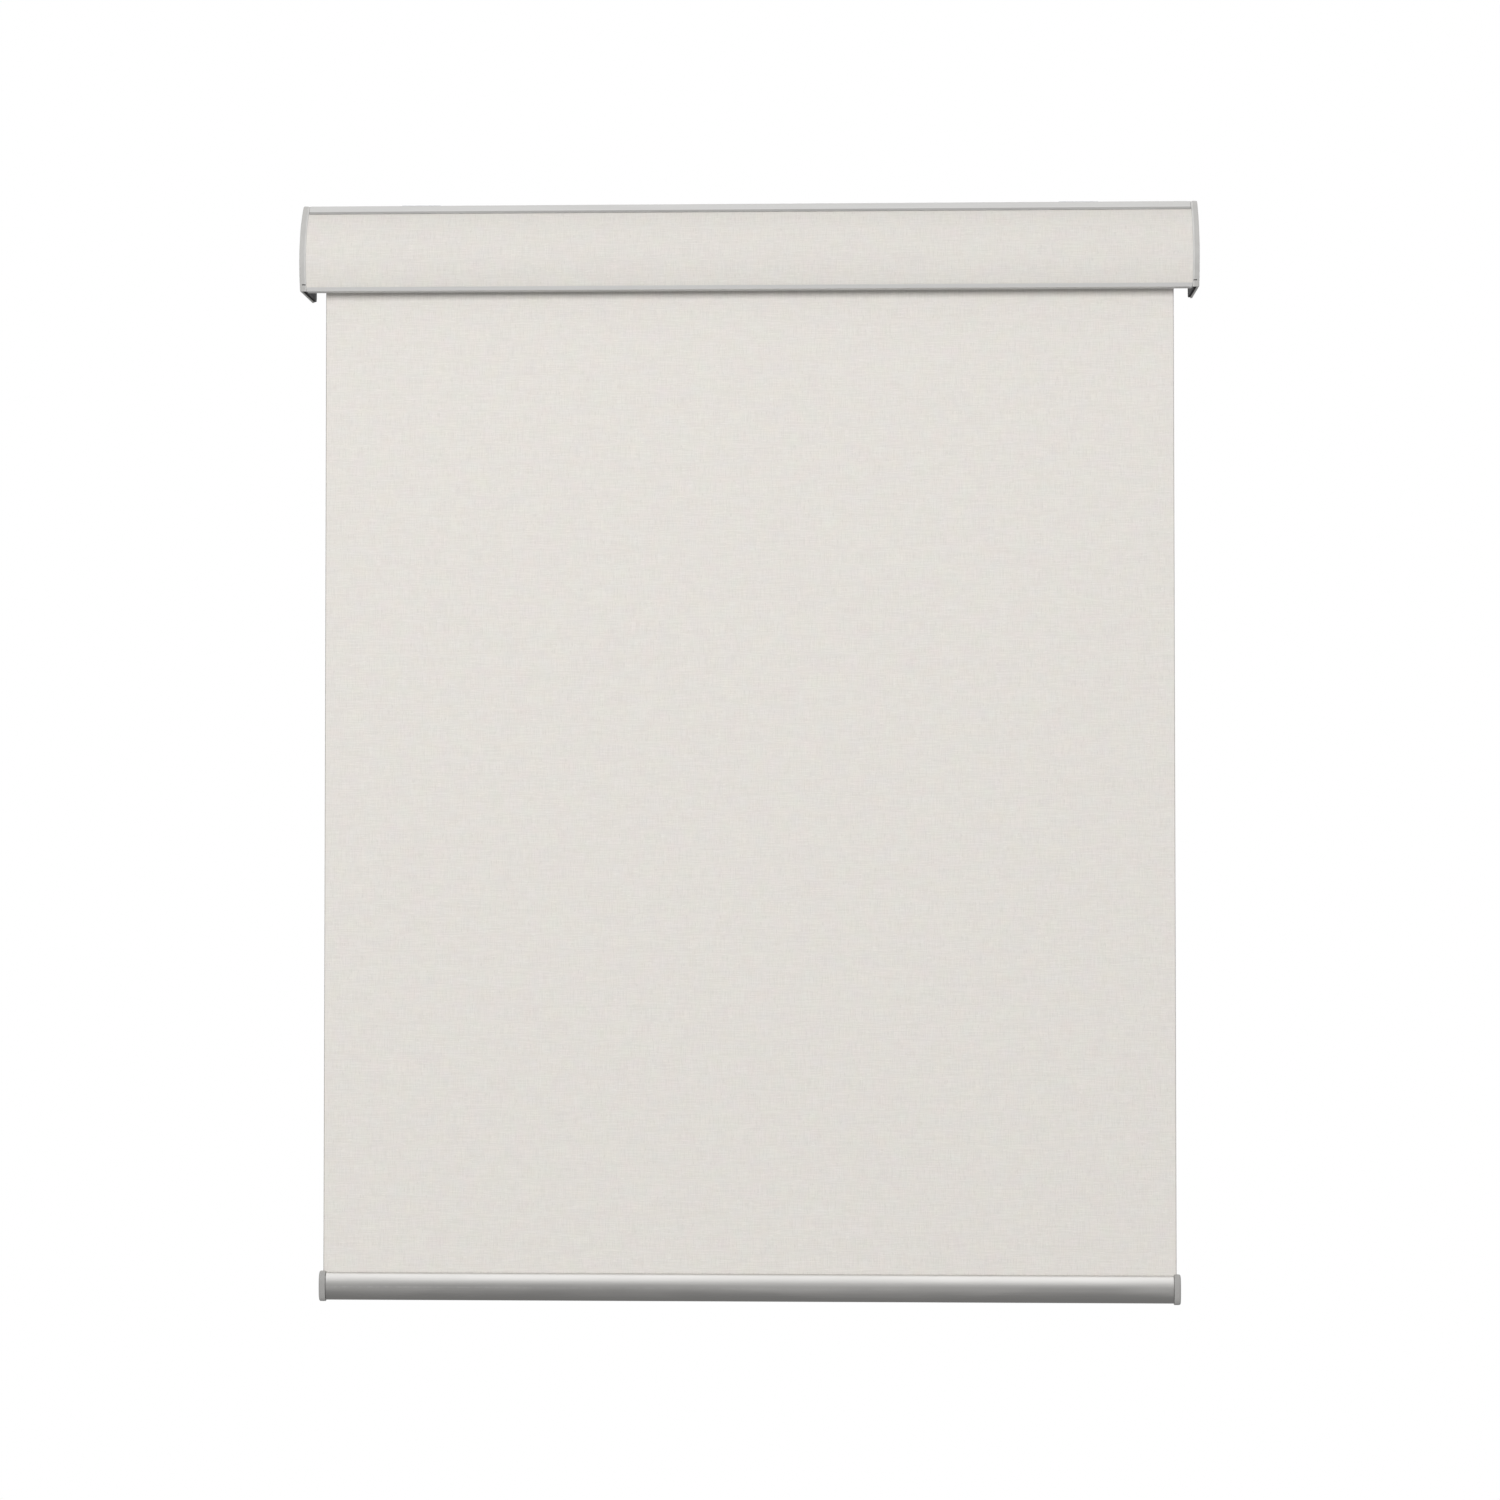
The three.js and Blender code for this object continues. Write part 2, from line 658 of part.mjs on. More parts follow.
function headbox() {
  const group = new THREE.Group();
  group.add(piece("head_rail", "aluminium", headRail()));
  group.add(piece("fascia_panel", "aluminium", fasciaPanel()));
  group.add(piece("fascia_fabric", "cloth", fasciaFabric()));
  for (const [hand, side] of [["left", -1], ["right", 1]]) {
    group.add(piece(`end_cover_${hand}`, "greyPlastic", endCover(side)));
    group.add(piece(`bracket_${hand}`, "blackSteel", endBracket(side)));
    group.add(piece(`bracket_screw_${hand}_rear`, "zincSteel", bracketScrew(side, rearPort)));
    group.add(piece(`bracket_screw_${hand}_front`, "zincSteel", bracketScrew(side, frontPort)));
    group.add(piece(`mounting_clip_${hand}`, "zincSteel", mountingClip(side * (halfWidth - clipInset))));
  }
  group.add(piece("spring_anchor", "whitePlastic", springAnchor()));
  group.add(piece("spring_shaft", "zincSteel", springShaft()));
  group.add(piece("shaft_circlip", "zincSteel", shaftClip()));
  group.add(piece("lift_spring", "zincSteel", liftSpring()));
  group.add(piece("idle_bush", "whitePlastic", idleBush()));
  group.add(piece("cloth_sheet", "cloth", clothSheet()));
  return group;
}

function roller() {
  const group = new THREE.Group();
  group.add(piece("roller_tube", "satinAluminium", rollerTube()));
  group.add(piece("tube_spline", "whitePlastic", tubeSpline()));
  group.add(piece("cloth_wraps", "cloth", clothWraps()));
  group.add(piece("spring_crown", "whitePlastic", springCrown()));
  group.add(piece("spring_drive_plug", "whitePlastic", springDrivePlug()));
  group.add(piece("idle_plug", "whitePlastic", idlePlug()));
  group.add(piece("idle_plug_cap", "whitePlastic", idlePlugCap()));
  group.add(piece("pin_spring", "zincSteel", pinSpring()));
  group.add(piece("idle_pin", "zincSteel", idlePin()));
  return group;
}

function hem() {
  const group = new THREE.Group();
  group.add(piece("hem_bar", "satinAluminium", hemBar()));
  group.add(piece("hem_spline", "whitePlastic", hemSpline()));
  group.add(piece("hem_cap_left", "greyPlastic", hemCap(-1)));
  group.add(piece("hem_cap_right", "greyPlastic", hemCap(1)));
  return group;
}

const blind = new THREE.Group();
blind.add(headbox(), roller(), hem());

export default blind;
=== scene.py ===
# %% [markdown]
# # A cordless roller blind in a curved cassette
# The blind is a cloth on a sprung tube, inside an aluminium cassette that is closed by two moulded end
# covers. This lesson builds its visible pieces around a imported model, which gives every place and size.
# Each step says what a piece is on the real blind, then builds it from its own section or turning.

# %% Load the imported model
import math
import bmesh
import bpy
from mathutils import Matrix, Vector
from mathutils.geometry import tessellate_polygon


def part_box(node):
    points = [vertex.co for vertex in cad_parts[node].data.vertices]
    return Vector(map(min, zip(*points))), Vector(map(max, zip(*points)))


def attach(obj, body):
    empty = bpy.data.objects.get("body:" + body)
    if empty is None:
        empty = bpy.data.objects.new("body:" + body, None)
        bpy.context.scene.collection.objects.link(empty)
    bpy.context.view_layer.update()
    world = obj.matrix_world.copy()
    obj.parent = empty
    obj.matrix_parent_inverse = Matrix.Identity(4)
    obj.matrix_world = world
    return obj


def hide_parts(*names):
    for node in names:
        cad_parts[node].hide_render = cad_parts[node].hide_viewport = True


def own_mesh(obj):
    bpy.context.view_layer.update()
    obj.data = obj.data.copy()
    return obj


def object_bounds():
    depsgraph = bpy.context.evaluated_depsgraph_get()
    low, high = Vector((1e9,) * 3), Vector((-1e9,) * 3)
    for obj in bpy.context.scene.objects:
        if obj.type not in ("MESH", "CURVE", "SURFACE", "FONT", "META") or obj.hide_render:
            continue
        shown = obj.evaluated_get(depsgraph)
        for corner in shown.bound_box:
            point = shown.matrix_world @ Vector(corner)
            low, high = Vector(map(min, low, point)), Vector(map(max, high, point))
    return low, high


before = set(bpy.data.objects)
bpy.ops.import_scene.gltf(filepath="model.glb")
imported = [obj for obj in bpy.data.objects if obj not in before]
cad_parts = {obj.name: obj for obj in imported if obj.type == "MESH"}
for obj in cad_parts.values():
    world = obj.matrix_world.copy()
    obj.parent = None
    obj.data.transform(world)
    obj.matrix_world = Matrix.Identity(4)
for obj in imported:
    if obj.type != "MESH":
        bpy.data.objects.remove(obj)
cad_low, cad_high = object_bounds()
mm = 0.001

# %% [markdown]
# ## The camera
# A long lens from well back keeps the blind's edges almost parallel. The lens stands a little below the
# cassette, so it sees the cassette's lip from underneath, and a little to the right of the middle.

# %% Camera
camera_data = bpy.data.cameras.new("camera")
camera_data.sensor_width = 36
camera_data.lens = 82.74
camera = bpy.data.objects.new("camera", camera_data)
bpy.context.scene.collection.objects.link(camera)
camera.location = (0.1255, -3.5735, -0.647)
camera.rotation_euler = (math.radians(91.388), 0, math.radians(2.019))
bpy.context.scene.camera = camera
print("camera stands", round(-camera.location.y, 2), "m in front of the wall")

# %% [markdown]
# ## Light
# The blind hangs in a bright studio. One big soft lamp stands far in front and a little above, so that
# cloth and fascia are lit alike and the lip throws a short soft shadow. A weaker lamp behind shows the
# back of the cloth, and an even fill comes from all round. Shiny pieces need something to mirror, so
# glossy rays see a ramp from dim below to bright above. The camera itself sees the world as plain white.

# %% Node helpers
scene = bpy.context.scene
scene.view_settings.view_transform = "Standard"


def place_node(tree, kind, **settings):
    """Adds a node to a tree and sets its properties."""
    made = tree.nodes.new(kind)
    for name, value in settings.items():
        setattr(made, name, value)
    return made


def feed(tree, socket, value):
    """Links a socket to another one, or sets it to a plain value."""
    if isinstance(value, bpy.types.NodeSocket):
        tree.links.new(value, socket)
    else:
        socket.default_value = value


def calculate(tree, operation, *values):
    """A Math node over sockets or numbers; gives its output socket."""
    made = place_node(tree, "ShaderNodeMath", operation=operation)
    for socket, value in zip(made.inputs, values):
        feed(tree, socket, value)
    return made.outputs[0]


def remapped(tree, value, low, high, new_low, new_high):
    """A value moved smoothly from one range to another."""
    step = place_node(tree, "ShaderNodeMapRange", interpolation_type="SMOOTHSTEP")
    for label, number in (("Value", value), ("From Min", low), ("From Max", high),
                          ("To Min", new_low), ("To Max", new_high)):
        feed(tree, step.inputs[label], number)
    return step.outputs[0]


# %% World
world_fill = 0.33  # what diffuse rays get
lower_glow, upper_glow = 0.27, 1.5  # what glossy rays see below and above
ramp_start, ramp_end = -0.25, 0.45  # heights of direction where the ramp starts and ends


def switched(tree, switch, when_off, when_on):
    """One number or another, by a ray's kind."""
    made = place_node(tree, "ShaderNodeMix", data_type="FLOAT")
    for index, value in ((0, switch), (2, when_off), (3, when_on)):
        feed(tree, made.inputs[index], value)
    return made.outputs[0]


def by_ray(tree, glossy, diffuse):
    """Brightness for each kind of ray: white for the camera, one value for diffuse rays, else glossy."""
    rays = place_node(tree, "ShaderNodeLightPath")
    lit = switched(tree, rays.outputs["Is Diffuse Ray"], glossy, diffuse)
    return switched(tree, rays.outputs["Is Camera Ray"], lit, 1.0)


def sky_ramp(tree):
    """Brightness by height of direction: dim below the horizon and bright above it."""
    place = place_node(tree, "ShaderNodeTexCoord")
    axes = place_node(tree, "ShaderNodeSeparateXYZ")
    tree.links.new(place.outputs["Generated"], axes.inputs[0])
    return remapped(tree, axes.outputs["Z"], ramp_start, ramp_end, lower_glow, upper_glow)


world = bpy.data.worlds.new("studio")
scene.world = world
world.use_nodes = True
sky = world.node_tree
glow = sky.nodes["Background"]
sky.links.new(by_ray(sky, sky_ramp(sky), world_fill), glow.inputs["Strength"])
glow.inputs["Color"].default_value = (1, 1, 1, 1)
print("world fill", world_fill, "glow", lower_glow, "to", upper_glow)

# %% Lamps
blind_middle = Vector((0, 0, -0.4))


def softbox(name, width, height, watts, place):
    """A large soft lamp that points at the blind and isn't mirrored in it."""
    data = bpy.data.lights.new(name, "AREA")
    data.shape = "RECTANGLE"
    data.size, data.size_y = width, height
    data.energy = watts
    lamp = bpy.data.objects.new(name, data)
    scene.collection.objects.link(lamp)
    lamp.location = place
    lamp.rotation_euler = (blind_middle - lamp.location).to_track_quat("-Z", "Y").to_euler()
    lamp.visible_glossy = False
    lamp.visible_camera = False
    print(name, "gives", watts, "W from", place)


softbox("softbox", 3.3, 2.3, 250, (-0.9, -5.8, 1.5))
softbox("rear_softbox", 3, 3, 130, (1.2, 5.8, 1.5))

# %% [markdown]
# ## Floor
# A pale floor lies below the blind. It gives diffuse rays a little more light than the world does, as a
# white floor would, and the camera sees it as plain white and looks through it from below.

# %% Floor
floor_drop = 0.35  # below the hem bar
floor_reach = 14
floor_fill = 0.5


def floor_finish():
    """A plain glow on top, and clear from below."""
    look = bpy.data.materials.new("floor_white")
    look.use_nodes = True
    tree = look.node_tree
    tree.nodes.remove(tree.nodes["Principled BSDF"])
    pale = place_node(tree, "ShaderNodeEmission")
    feed(tree, pale.inputs["Strength"], by_ray(tree, lower_glow, floor_fill))
    side = place_node(tree, "ShaderNodeNewGeometry")
    clear = place_node(tree, "ShaderNodeBsdfTransparent")
    mix = place_node(tree, "ShaderNodeMixShader")
    for index, socket in enumerate((side.outputs["Backfacing"], pale.outputs[0], clear.outputs[0])):
        tree.links.new(socket, mix.inputs[index])
    tree.links.new(mix.outputs[0], tree.nodes["Material Output"].inputs["Surface"])
    return look


floor_height = cad_low.z - floor_drop
floor_mesh = bpy.data.meshes.new("floor")
floor_corners = [(x * floor_reach, y * floor_reach, floor_height)
                 for x, y in ((-1, -1), (1, -1), (1, 1), (-1, 1))]
floor_mesh.from_pydata(floor_corners, [], [(0, 1, 2, 3)])
floor_mesh.materials.append(floor_finish())
floor = bpy.data.objects.new("floor", floor_mesh)
scene.collection.objects.link(floor)
print("floor at", round(floor_height, 3), "m")

# %% [markdown]
# ## Sizes from the model
# The front of the cassette is one arc. Its radius follows from two heights and a set-back, as any arc
# through two levels does. The roller's axis and the cloth's plane are read from the model's boxes.

# %% Sizes from the model
cover_low, cover_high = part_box("end_cover_left")
head_front, head_rear = cover_low.y, cover_high.y
head_bottom, head_top = cover_low.z, cover_high.z
half_width = -cover_low.x
top_set_back = 27 * mm  # the fascia's top edge, behind its foremost point
bulge_height = 30 * mm  # the foremost point, above the lip
gap = 0.3 * mm  # between pieces that touch
run_gap = 0.15 * mm  # between a shaft and its bore
arch_height = head_top - head_bottom - bulge_height
front_radius = (arch_height**2 + top_set_back**2) / (2 * top_set_back)
arch_y = head_front + front_radius
arch_z = head_bottom + bulge_height
tube_low, tube_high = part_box("roller_tube")
tube_radius = (tube_high.y - tube_low.y) / 2
axis_y = (tube_high.y + tube_low.y) / 2
axis_z = tube_low.z + tube_radius
cloth_low, cloth_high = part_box("cloth_sheet")
cloth_y = (cloth_low.y + cloth_high.y) / 2
cloth_thick = cloth_high.y - cloth_low.y
print("front arc radius", round(front_radius / mm, 2), "mm; roller axis", round(axis_y / mm, 1),
      round(axis_z / mm, 1))


def arch_angle(z, radius):
    """The angle on an arc about the arch centre where it reaches a height."""
    return math.asin((z - arch_z) / radius)


def arch_point(radius, angle):
    """A point on an arc of the front, as (y, z)."""
    return (arch_y - radius * math.cos(angle), arch_z + radius * math.sin(angle))


def arch_run(radius, start, stop, step=1.6 * mm):
    """Points along an arc of the front, from one angle to another."""
    count = max(1, round(abs(stop - start) * radius / step))
    return [arch_point(radius, start + (stop - start) * i / count) for i in range(count + 1)]


def about_axis(radius, angle):
    """A point about the roller's axis, as (y, z)."""
    return (axis_y + radius * math.cos(angle), axis_z + radius * math.sin(angle))


top_angle = arch_angle(head_top, front_radius)
bottom_angle = arch_angle(head_bottom, front_radius)

# %% [markdown]
# ## Sections and turnings
# Extruded, stamped and moulded pieces all start as a closed outline. Real corners are never sharp, so an
# outline is softened first, and the ends of an extrusion get a small rounded edge as well, which is what
# catches the light. The rounded edge stays smaller than the softened corners, or the rings would cross
# there. Round pieces are outlines spun about the roller's axis.

# %% Outline helpers
def soften(corners, radius, steps=3, closed=True):
    """Rounds each sharp corner of an outline with a small curve."""
    rounded = []
    count = len(corners)
    for index, corner in enumerate(corners):
        if not closed and index in (0, count - 1):
            rounded.append(tuple(corner))
            continue
        here = Vector(corner)
        back = Vector(corners[index - 1]) - here
        ahead = Vector(corners[(index + 1) % count]) - here
        turn = math.pi - back.angle(ahead)
        if turn < math.radians(20):
            rounded.append(tuple(corner))
            continue
        reach = min(radius * math.tan(turn / 2), 0.48 * back.length, 0.48 * ahead.length)
        start = here + back.normalized() * reach
        end = here + ahead.normalized() * reach
        for step in range(steps + 1):
            t = step / steps
            rounded.append(tuple(start * (1 - t) ** 2 + here * 2 * t * (1 - t) + end * t**2))
    return rounded


def area_of(outline):
    """Area of an outline: positive when it runs anticlockwise."""
    return sum(a[0] * b[1] - b[0] * a[1] for a, b in zip(outline, outline[1:] + outline[:1])) / 2


def wound(outline, anticlockwise):
    """The outline, turned round if needed: outer outlines run anticlockwise and holes clockwise."""
    return outline if (area_of(outline) > 0) == anticlockwise else outline[::-1]


def shrunk(outline, amount):
    """The outline moved into its own material by an even amount."""
    moved = []
    count = len(outline)
    for index, point in enumerate(outline):
        here = Vector(point)
        a = (here - Vector(outline[index - 1])).normalized()
        b = (Vector(outline[(index + 1) % count]) - here).normalized()
        left_a, left_b = Vector((-a.y, a.x)), Vector((-b.y, b.x))
        lean = max(0.4, 1 + left_a.dot(left_b))
        moved.append(tuple(here + (left_a + left_b) * (amount / lean)))
    return moved


def ring(y, z, radius, steps=48):
    """A circle as an outline."""
    angles = [2 * math.pi * i / steps for i in range(steps)]
    return [(y + radius * math.cos(a), z + radius * math.sin(a)) for a in angles]


def rectangle(y0, y1, z0, z1):
    """A four-cornered outline."""
    return [(y0, z0), (y1, z0), (y1, z1), (y0, z1)]


def bent_sheet(path, thickness, bend):
    """The outline of a folded sheet that follows a middle line with rounded bends."""
    line = soften(path, bend, 6, closed=False)
    sides = ([], [])
    for index, point in enumerate(line):
        before = Vector(line[max(0, index - 1)])
        after = Vector(line[min(len(line) - 1, index + 1)])
        along = (after - before).normalized()
        across = Vector((-along.y, along.x)) * thickness / 2
        sides[0].append(tuple(Vector(point) + across))
        sides[1].append(tuple(Vector(point) - across))
    return sides[0] + sides[1][::-1]


# %% Mesh helpers
def new_object(name, mesh):
    """Put a mesh in the scene as a named object."""
    made = bpy.data.objects.new(name, mesh)
    scene.collection.objects.link(made)
    return made


def cleaned(name, builder):
    """Turns a finished bmesh into a mesh: doubles merged, loose edges gone and faces pointing out."""
    bmesh.ops.remove_doubles(builder, verts=builder.verts, dist=0.002 * mm)
    bmesh.ops.dissolve_degenerate(builder, edges=builder.edges, dist=0.002 * mm)
    loose = [edge for edge in builder.edges if not edge.link_faces]
    bmesh.ops.delete(builder, geom=loose, context="EDGES")
    bmesh.ops.recalc_face_normals(builder, faces=builder.faces)
    if builder.calc_volume(signed=True) < 0:
        bmesh.ops.reverse_faces(builder, faces=builder.faces)
    mesh = bpy.data.meshes.new(name)
    builder.to_mesh(mesh)
    builder.free()
    return mesh


def object_from(name, builder):
    """Turn a bmesh into a named object."""
    return new_object(name, cleaned(name, builder))


def mirrored(piece, name):
    """The same piece for the other hand."""
    mesh = piece.data.copy()
    mesh.transform(Matrix.Scale(-1, 4, (1, 0, 0)))
    mesh.flip_normals()
    return new_object(name, mesh)


def skin(builder, rings, closed_section=True):
    """Joins rings of vertices, one after another, with quads."""
    for first, second in zip(rings, rings[1:]):
        count = len(first)
        for i in range(count if closed_section else count - 1):
            j = (i + 1) % count
            builder.faces.new((first[i], first[j], second[j], second[i]))


def lid(builder, loops):
    """Closes one end: loops holds the outer ring and then any hole rings."""
    flat = [vert for loop in loops for vert in loop]
    for a, b, c in tessellate_polygon([[vert.co for vert in loop] for loop in loops]):
        if len({flat[a], flat[b], flat[c]}) == 3:
            builder.faces.new((flat[a], flat[b], flat[c]))


def round_end(edge):
    """How far in and how far along each ring of a rounded end lies."""
    turns = [0, math.pi / 6, math.pi / 3, math.pi / 2]
    return [(edge * (1 - math.sin(t)), edge * (1 - math.cos(t))) for t in turns] if edge else [(0, 0)]


def extruded(name, outlines, x0, x1, edge0=0.2 * mm, edge1=None):
    """Runs a Y-Z section along X. The first outline is the outside and the others are holes."""
    edge1 = edge0 if edge1 is None else edge1
    way = 1 if x1 > x0 else -1
    stations = [(x0 + way * along, inset) for inset, along in round_end(edge0)]
    stations += [(x1 - way * along, inset) for inset, along in round_end(edge1)[::-1]]
    builder = bmesh.new()
    ends = ([], [])
    for index, outline in enumerate(outlines):
        clean = wound(outline, index == 0)
        rings = [[builder.verts.new((x, y, z)) for y, z in shrunk(clean, inset)] for x, inset in stations]
        skin(builder, rings)
        ends[0].append(rings[0])
        ends[1].append(rings[-1])
    lid(builder, ends[0])
    lid(builder, ends[1])
    return object_from(name, builder)


def turned(name, outline, edge=0.3 * mm, steps=72, y=None, z=None):
    """Spins a closed outline of (x, radius) points about the roller's axis or a parallel one."""
    y = axis_y if y is None else y
    z = axis_z if z is None else z
    soft = []
    count = len(outline)
    for index, corner in enumerate(outline):
        if corner[1] < 1e-7:
            soft.append(corner)
            continue
        near = [outline[index - 1], corner, outline[(index + 1) % count]]
        soft += soften(near, edge, 3, closed=False)[1:-1]
    builder = bmesh.new()
    rings = []
    for step in range(steps):
        angle = 2 * math.pi * step / steps
        rings.append([builder.verts.new((x, y + r * math.cos(angle), z + r * math.sin(angle)))
                      for x, r in soft])
    skin(builder, rings + [rings[0]])
    return object_from(name, builder)


def swept(name, section, places, sides=10):
    """A round wire along a line of points, with closed ends."""
    builder = bmesh.new()
    rings = []
    turns = [2 * math.pi * i / sides for i in range(sides)]
    for index, place in enumerate(places):
        before, after = places[max(0, index - 1)], places[min(len(places) - 1, index + 1)]
        along = (after - before).normalized()
        out = Vector((0, place.y - axis_y, place.z - axis_z)).normalized()
        side = along.cross(out).normalized()
        out = side.cross(along)
        rings.append([builder.verts.new(place + section * (out * math.cos(t) + side * math.sin(t)))
                      for t in turns])
    skin(builder, rings)
    lid(builder, [rings[0]])
    lid(builder, [rings[-1]])
    return object_from(name, builder)


def combine(base, tools, operation):
    """Joins or cuts solids exactly and removes the tools."""
    for tool in tools:
        step = base.modifiers.new("step", "BOOLEAN")
        step.operation = operation
        step.solver = "EXACT"
        step.object = tool
        shown = bpy.context.evaluated_depsgraph_get()
        builder = bmesh.new()
        builder.from_mesh(base.evaluated_get(shown).data)
        base.modifiers.clear()
        base.data = cleaned(base.name, builder)
        bpy.data.objects.remove(tool)
    return base


def shade(piece, angle=38):
    """Smooth shading that stays crisp at real edges."""
    piece.data.shade_smooth()
    piece.data.set_sharp_from_angle(angle=math.radians(angle))
    even = piece.modifiers.new("even_normals", "WEIGHTED_NORMAL")
    even.keep_sharp = True
    even.weight = 50


def open_edges(piece):
    """How many edges don't join exactly two faces: none on a closed solid."""
    sides = {}
    for face in piece.data.polygons:
        for key in face.edge_keys:
            sides[key] = sides.get(key, 0) + 1
    return sum(count != 2 for count in sides.values())


def settle(piece, finish, body, slot, *nodes):
    """Finishes a piece: its material, the body that it rides on, its slot (not used) and the nodes it stands
    for.
    """
    piece.data.materials.clear()
    piece.data.materials.append(finish)
    shade(piece)
    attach(piece, body)
    if nodes:
        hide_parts(*nodes)
    print(f"{piece.name}: {len(piece.data.polygons)} faces, {open_edges(piece)} open edges, on {body}")
    return piece


# %% [markdown]
# ## Effects that several finishes share
# Each effect is a node group that is built once and gives only colours, masks or heights. Linen weave is
# made of stretched noise: one along the warp and one along the weft, with slubs where a thread swells.

# %% Start a node group
def start_group(name, inputs, outputs):
    """An empty shader node group with named sockets."""
    group = bpy.data.node_groups.new(name, "ShaderNodeTree")
    for label, kind, value in inputs:
        socket = group.interface.new_socket(label, in_out="INPUT", socket_type=kind)
        if value is not None:
            socket.default_value = value
    for label, kind in outputs:
        group.interface.new_socket(label, in_out="OUTPUT", socket_type=kind)
    return group, group.nodes.new("NodeGroupInput"), group.nodes.new("NodeGroupOutput")


def stretched_noise(tree, place, scale, detail=2.0, shift=0.0):
    """Noise over a place that is scaled differently along each axis."""
    stretch = place_node(tree, "ShaderNodeMapping")
    feed(tree, stretch.inputs["Vector"], place)
    stretch.inputs["Scale"].default_value = scale
    stretch.inputs["Location"].default_value = (shift, shift * 0.7, shift * 0.3)
    noise = place_node(tree, "ShaderNodeTexNoise")
    feed(tree, noise.inputs["Vector"], stretch.outputs[0])
    noise.inputs["Scale"].default_value = 1.0
    noise.inputs["Detail"].default_value = detail
    return noise


# %% Linen weave
FLOAT, VECTOR, COLOR = "NodeSocketFloat", "NodeSocketVector", "NodeSocketColor"


def linen_weave():
    """Cloth places in metres in; thread tone, patchy tint and thread height out."""
    group, enter, leave = start_group(
        "linen_weave",
        [("Place", VECTOR, None), ("Threads per metre", FLOAT, 1600.0), ("Slubs", FLOAT, 1.0)],
        [("Tone", FLOAT), ("Tint", COLOR), ("Height", FLOAT)])
    size = place_node(group, "ShaderNodeVectorMath", operation="SCALE")
    feed(group, size.inputs[0], enter.outputs["Place"])
    feed(group, size.inputs["Scale"], enter.outputs["Threads per metre"])
    threads = size.outputs[0]
    warp = stretched_noise(group, threads, (1.0, 0.035, 1.0), 1.0).outputs["Fac"]
    weft = stretched_noise(group, threads, (0.035, 1.0, 1.0), 1.0, 31.0).outputs["Fac"]
    slub_weft = stretched_noise(group, threads, (0.09, 0.75, 1.0), 0.0, 7.0).outputs["Fac"]
    slub_warp = stretched_noise(group, threads, (0.75, 0.09, 1.0), 0.0, 57.0).outputs["Fac"]
    bright = remapped(group, slub_weft, 0.66, 0.8, 0.0, 1.0)
    dark = remapped(group, slub_warp, 0.67, 0.8, 0.0, 1.0)
    slubs = calculate(group, "MULTIPLY", calculate(group, "SUBTRACT", bright, dark), enter.outputs["Slubs"])
    base = calculate(group, "MULTIPLY", calculate(group, "ADD", warp, weft), 0.5)
    group.links.new(calculate(group, "ADD", base, calculate(group, "MULTIPLY", slubs, 0.35)),
                    leave.inputs["Tone"])
    patches = stretched_noise(group, enter.outputs["Place"], (55.0, 55.0, 55.0), 3.0, 3.0)
    group.links.new(patches.outputs["Color"], leave.inputs["Tint"])
    axes = place_node(group, "ShaderNodeSeparateXYZ")
    feed(group, axes.inputs[0], threads)
    over = calculate(group, "SINE", calculate(group, "MULTIPLY", axes.outputs["X"], math.pi))
    under = calculate(group, "SINE", calculate(group, "MULTIPLY", axes.outputs["Y"], math.pi))
    crossing = calculate(group, "MULTIPLY", calculate(group, "MULTIPLY", over, under), 0.5)
    raised = calculate(group, "ADD", crossing, calculate(group, "MULTIPLY", slubs, 0.8))
    group.links.new(calculate(group, "ADD", raised, base), leave.inputs["Height"])
    return group


weave_group = linen_weave()
print("linen_weave has", len(weave_group.nodes), "nodes")


# %% Draw lines, moulded grain, edge wear and dust
def draw_lines():
    """Fine lines along X that an extrusion takes from its die."""
    group, enter, leave = start_group(
        "draw_lines", [("Place", VECTOR, None), ("Fineness", FLOAT, 4200.0)],
        [("Lines", FLOAT), ("Cloud", FLOAT)])
    size = place_node(group, "ShaderNodeVectorMath", operation="SCALE")
    feed(group, size.inputs[0], enter.outputs["Place"])
    feed(group, size.inputs["Scale"], enter.outputs["Fineness"])
    lines = stretched_noise(group, size.outputs[0], (0.0012, 1.0, 1.0), 3.0)
    cloud = stretched_noise(group, enter.outputs["Place"], (9.0, 60.0, 60.0), 3.0, 11.0)
    group.links.new(lines.outputs["Fac"], leave.inputs["Lines"])
    group.links.new(cloud.outputs["Fac"], leave.inputs["Cloud"])
    return group


def moulded_grain():
    """The fine spark texture of a moulding tool, or the orange peel of a powder coat."""
    group, enter, leave = start_group(
        "moulded_grain", [("Place", VECTOR, None), ("Grain", FLOAT, 1500.0)],
        [("Height", FLOAT), ("Speckle", FLOAT)])
    pits = place_node(group, "ShaderNodeTexVoronoi", feature="SMOOTH_F1")
    feed(group, pits.inputs["Vector"], enter.outputs["Place"])
    feed(group, pits.inputs["Scale"], enter.outputs["Grain"])
    speckle = stretched_noise(group, enter.outputs["Place"], (90.0, 90.0, 90.0), 4.0, 5.0)
    group.links.new(pits.outputs["Distance"], leave.inputs["Height"])
    group.links.new(speckle.outputs["Fac"], leave.inputs["Speckle"])
    return group


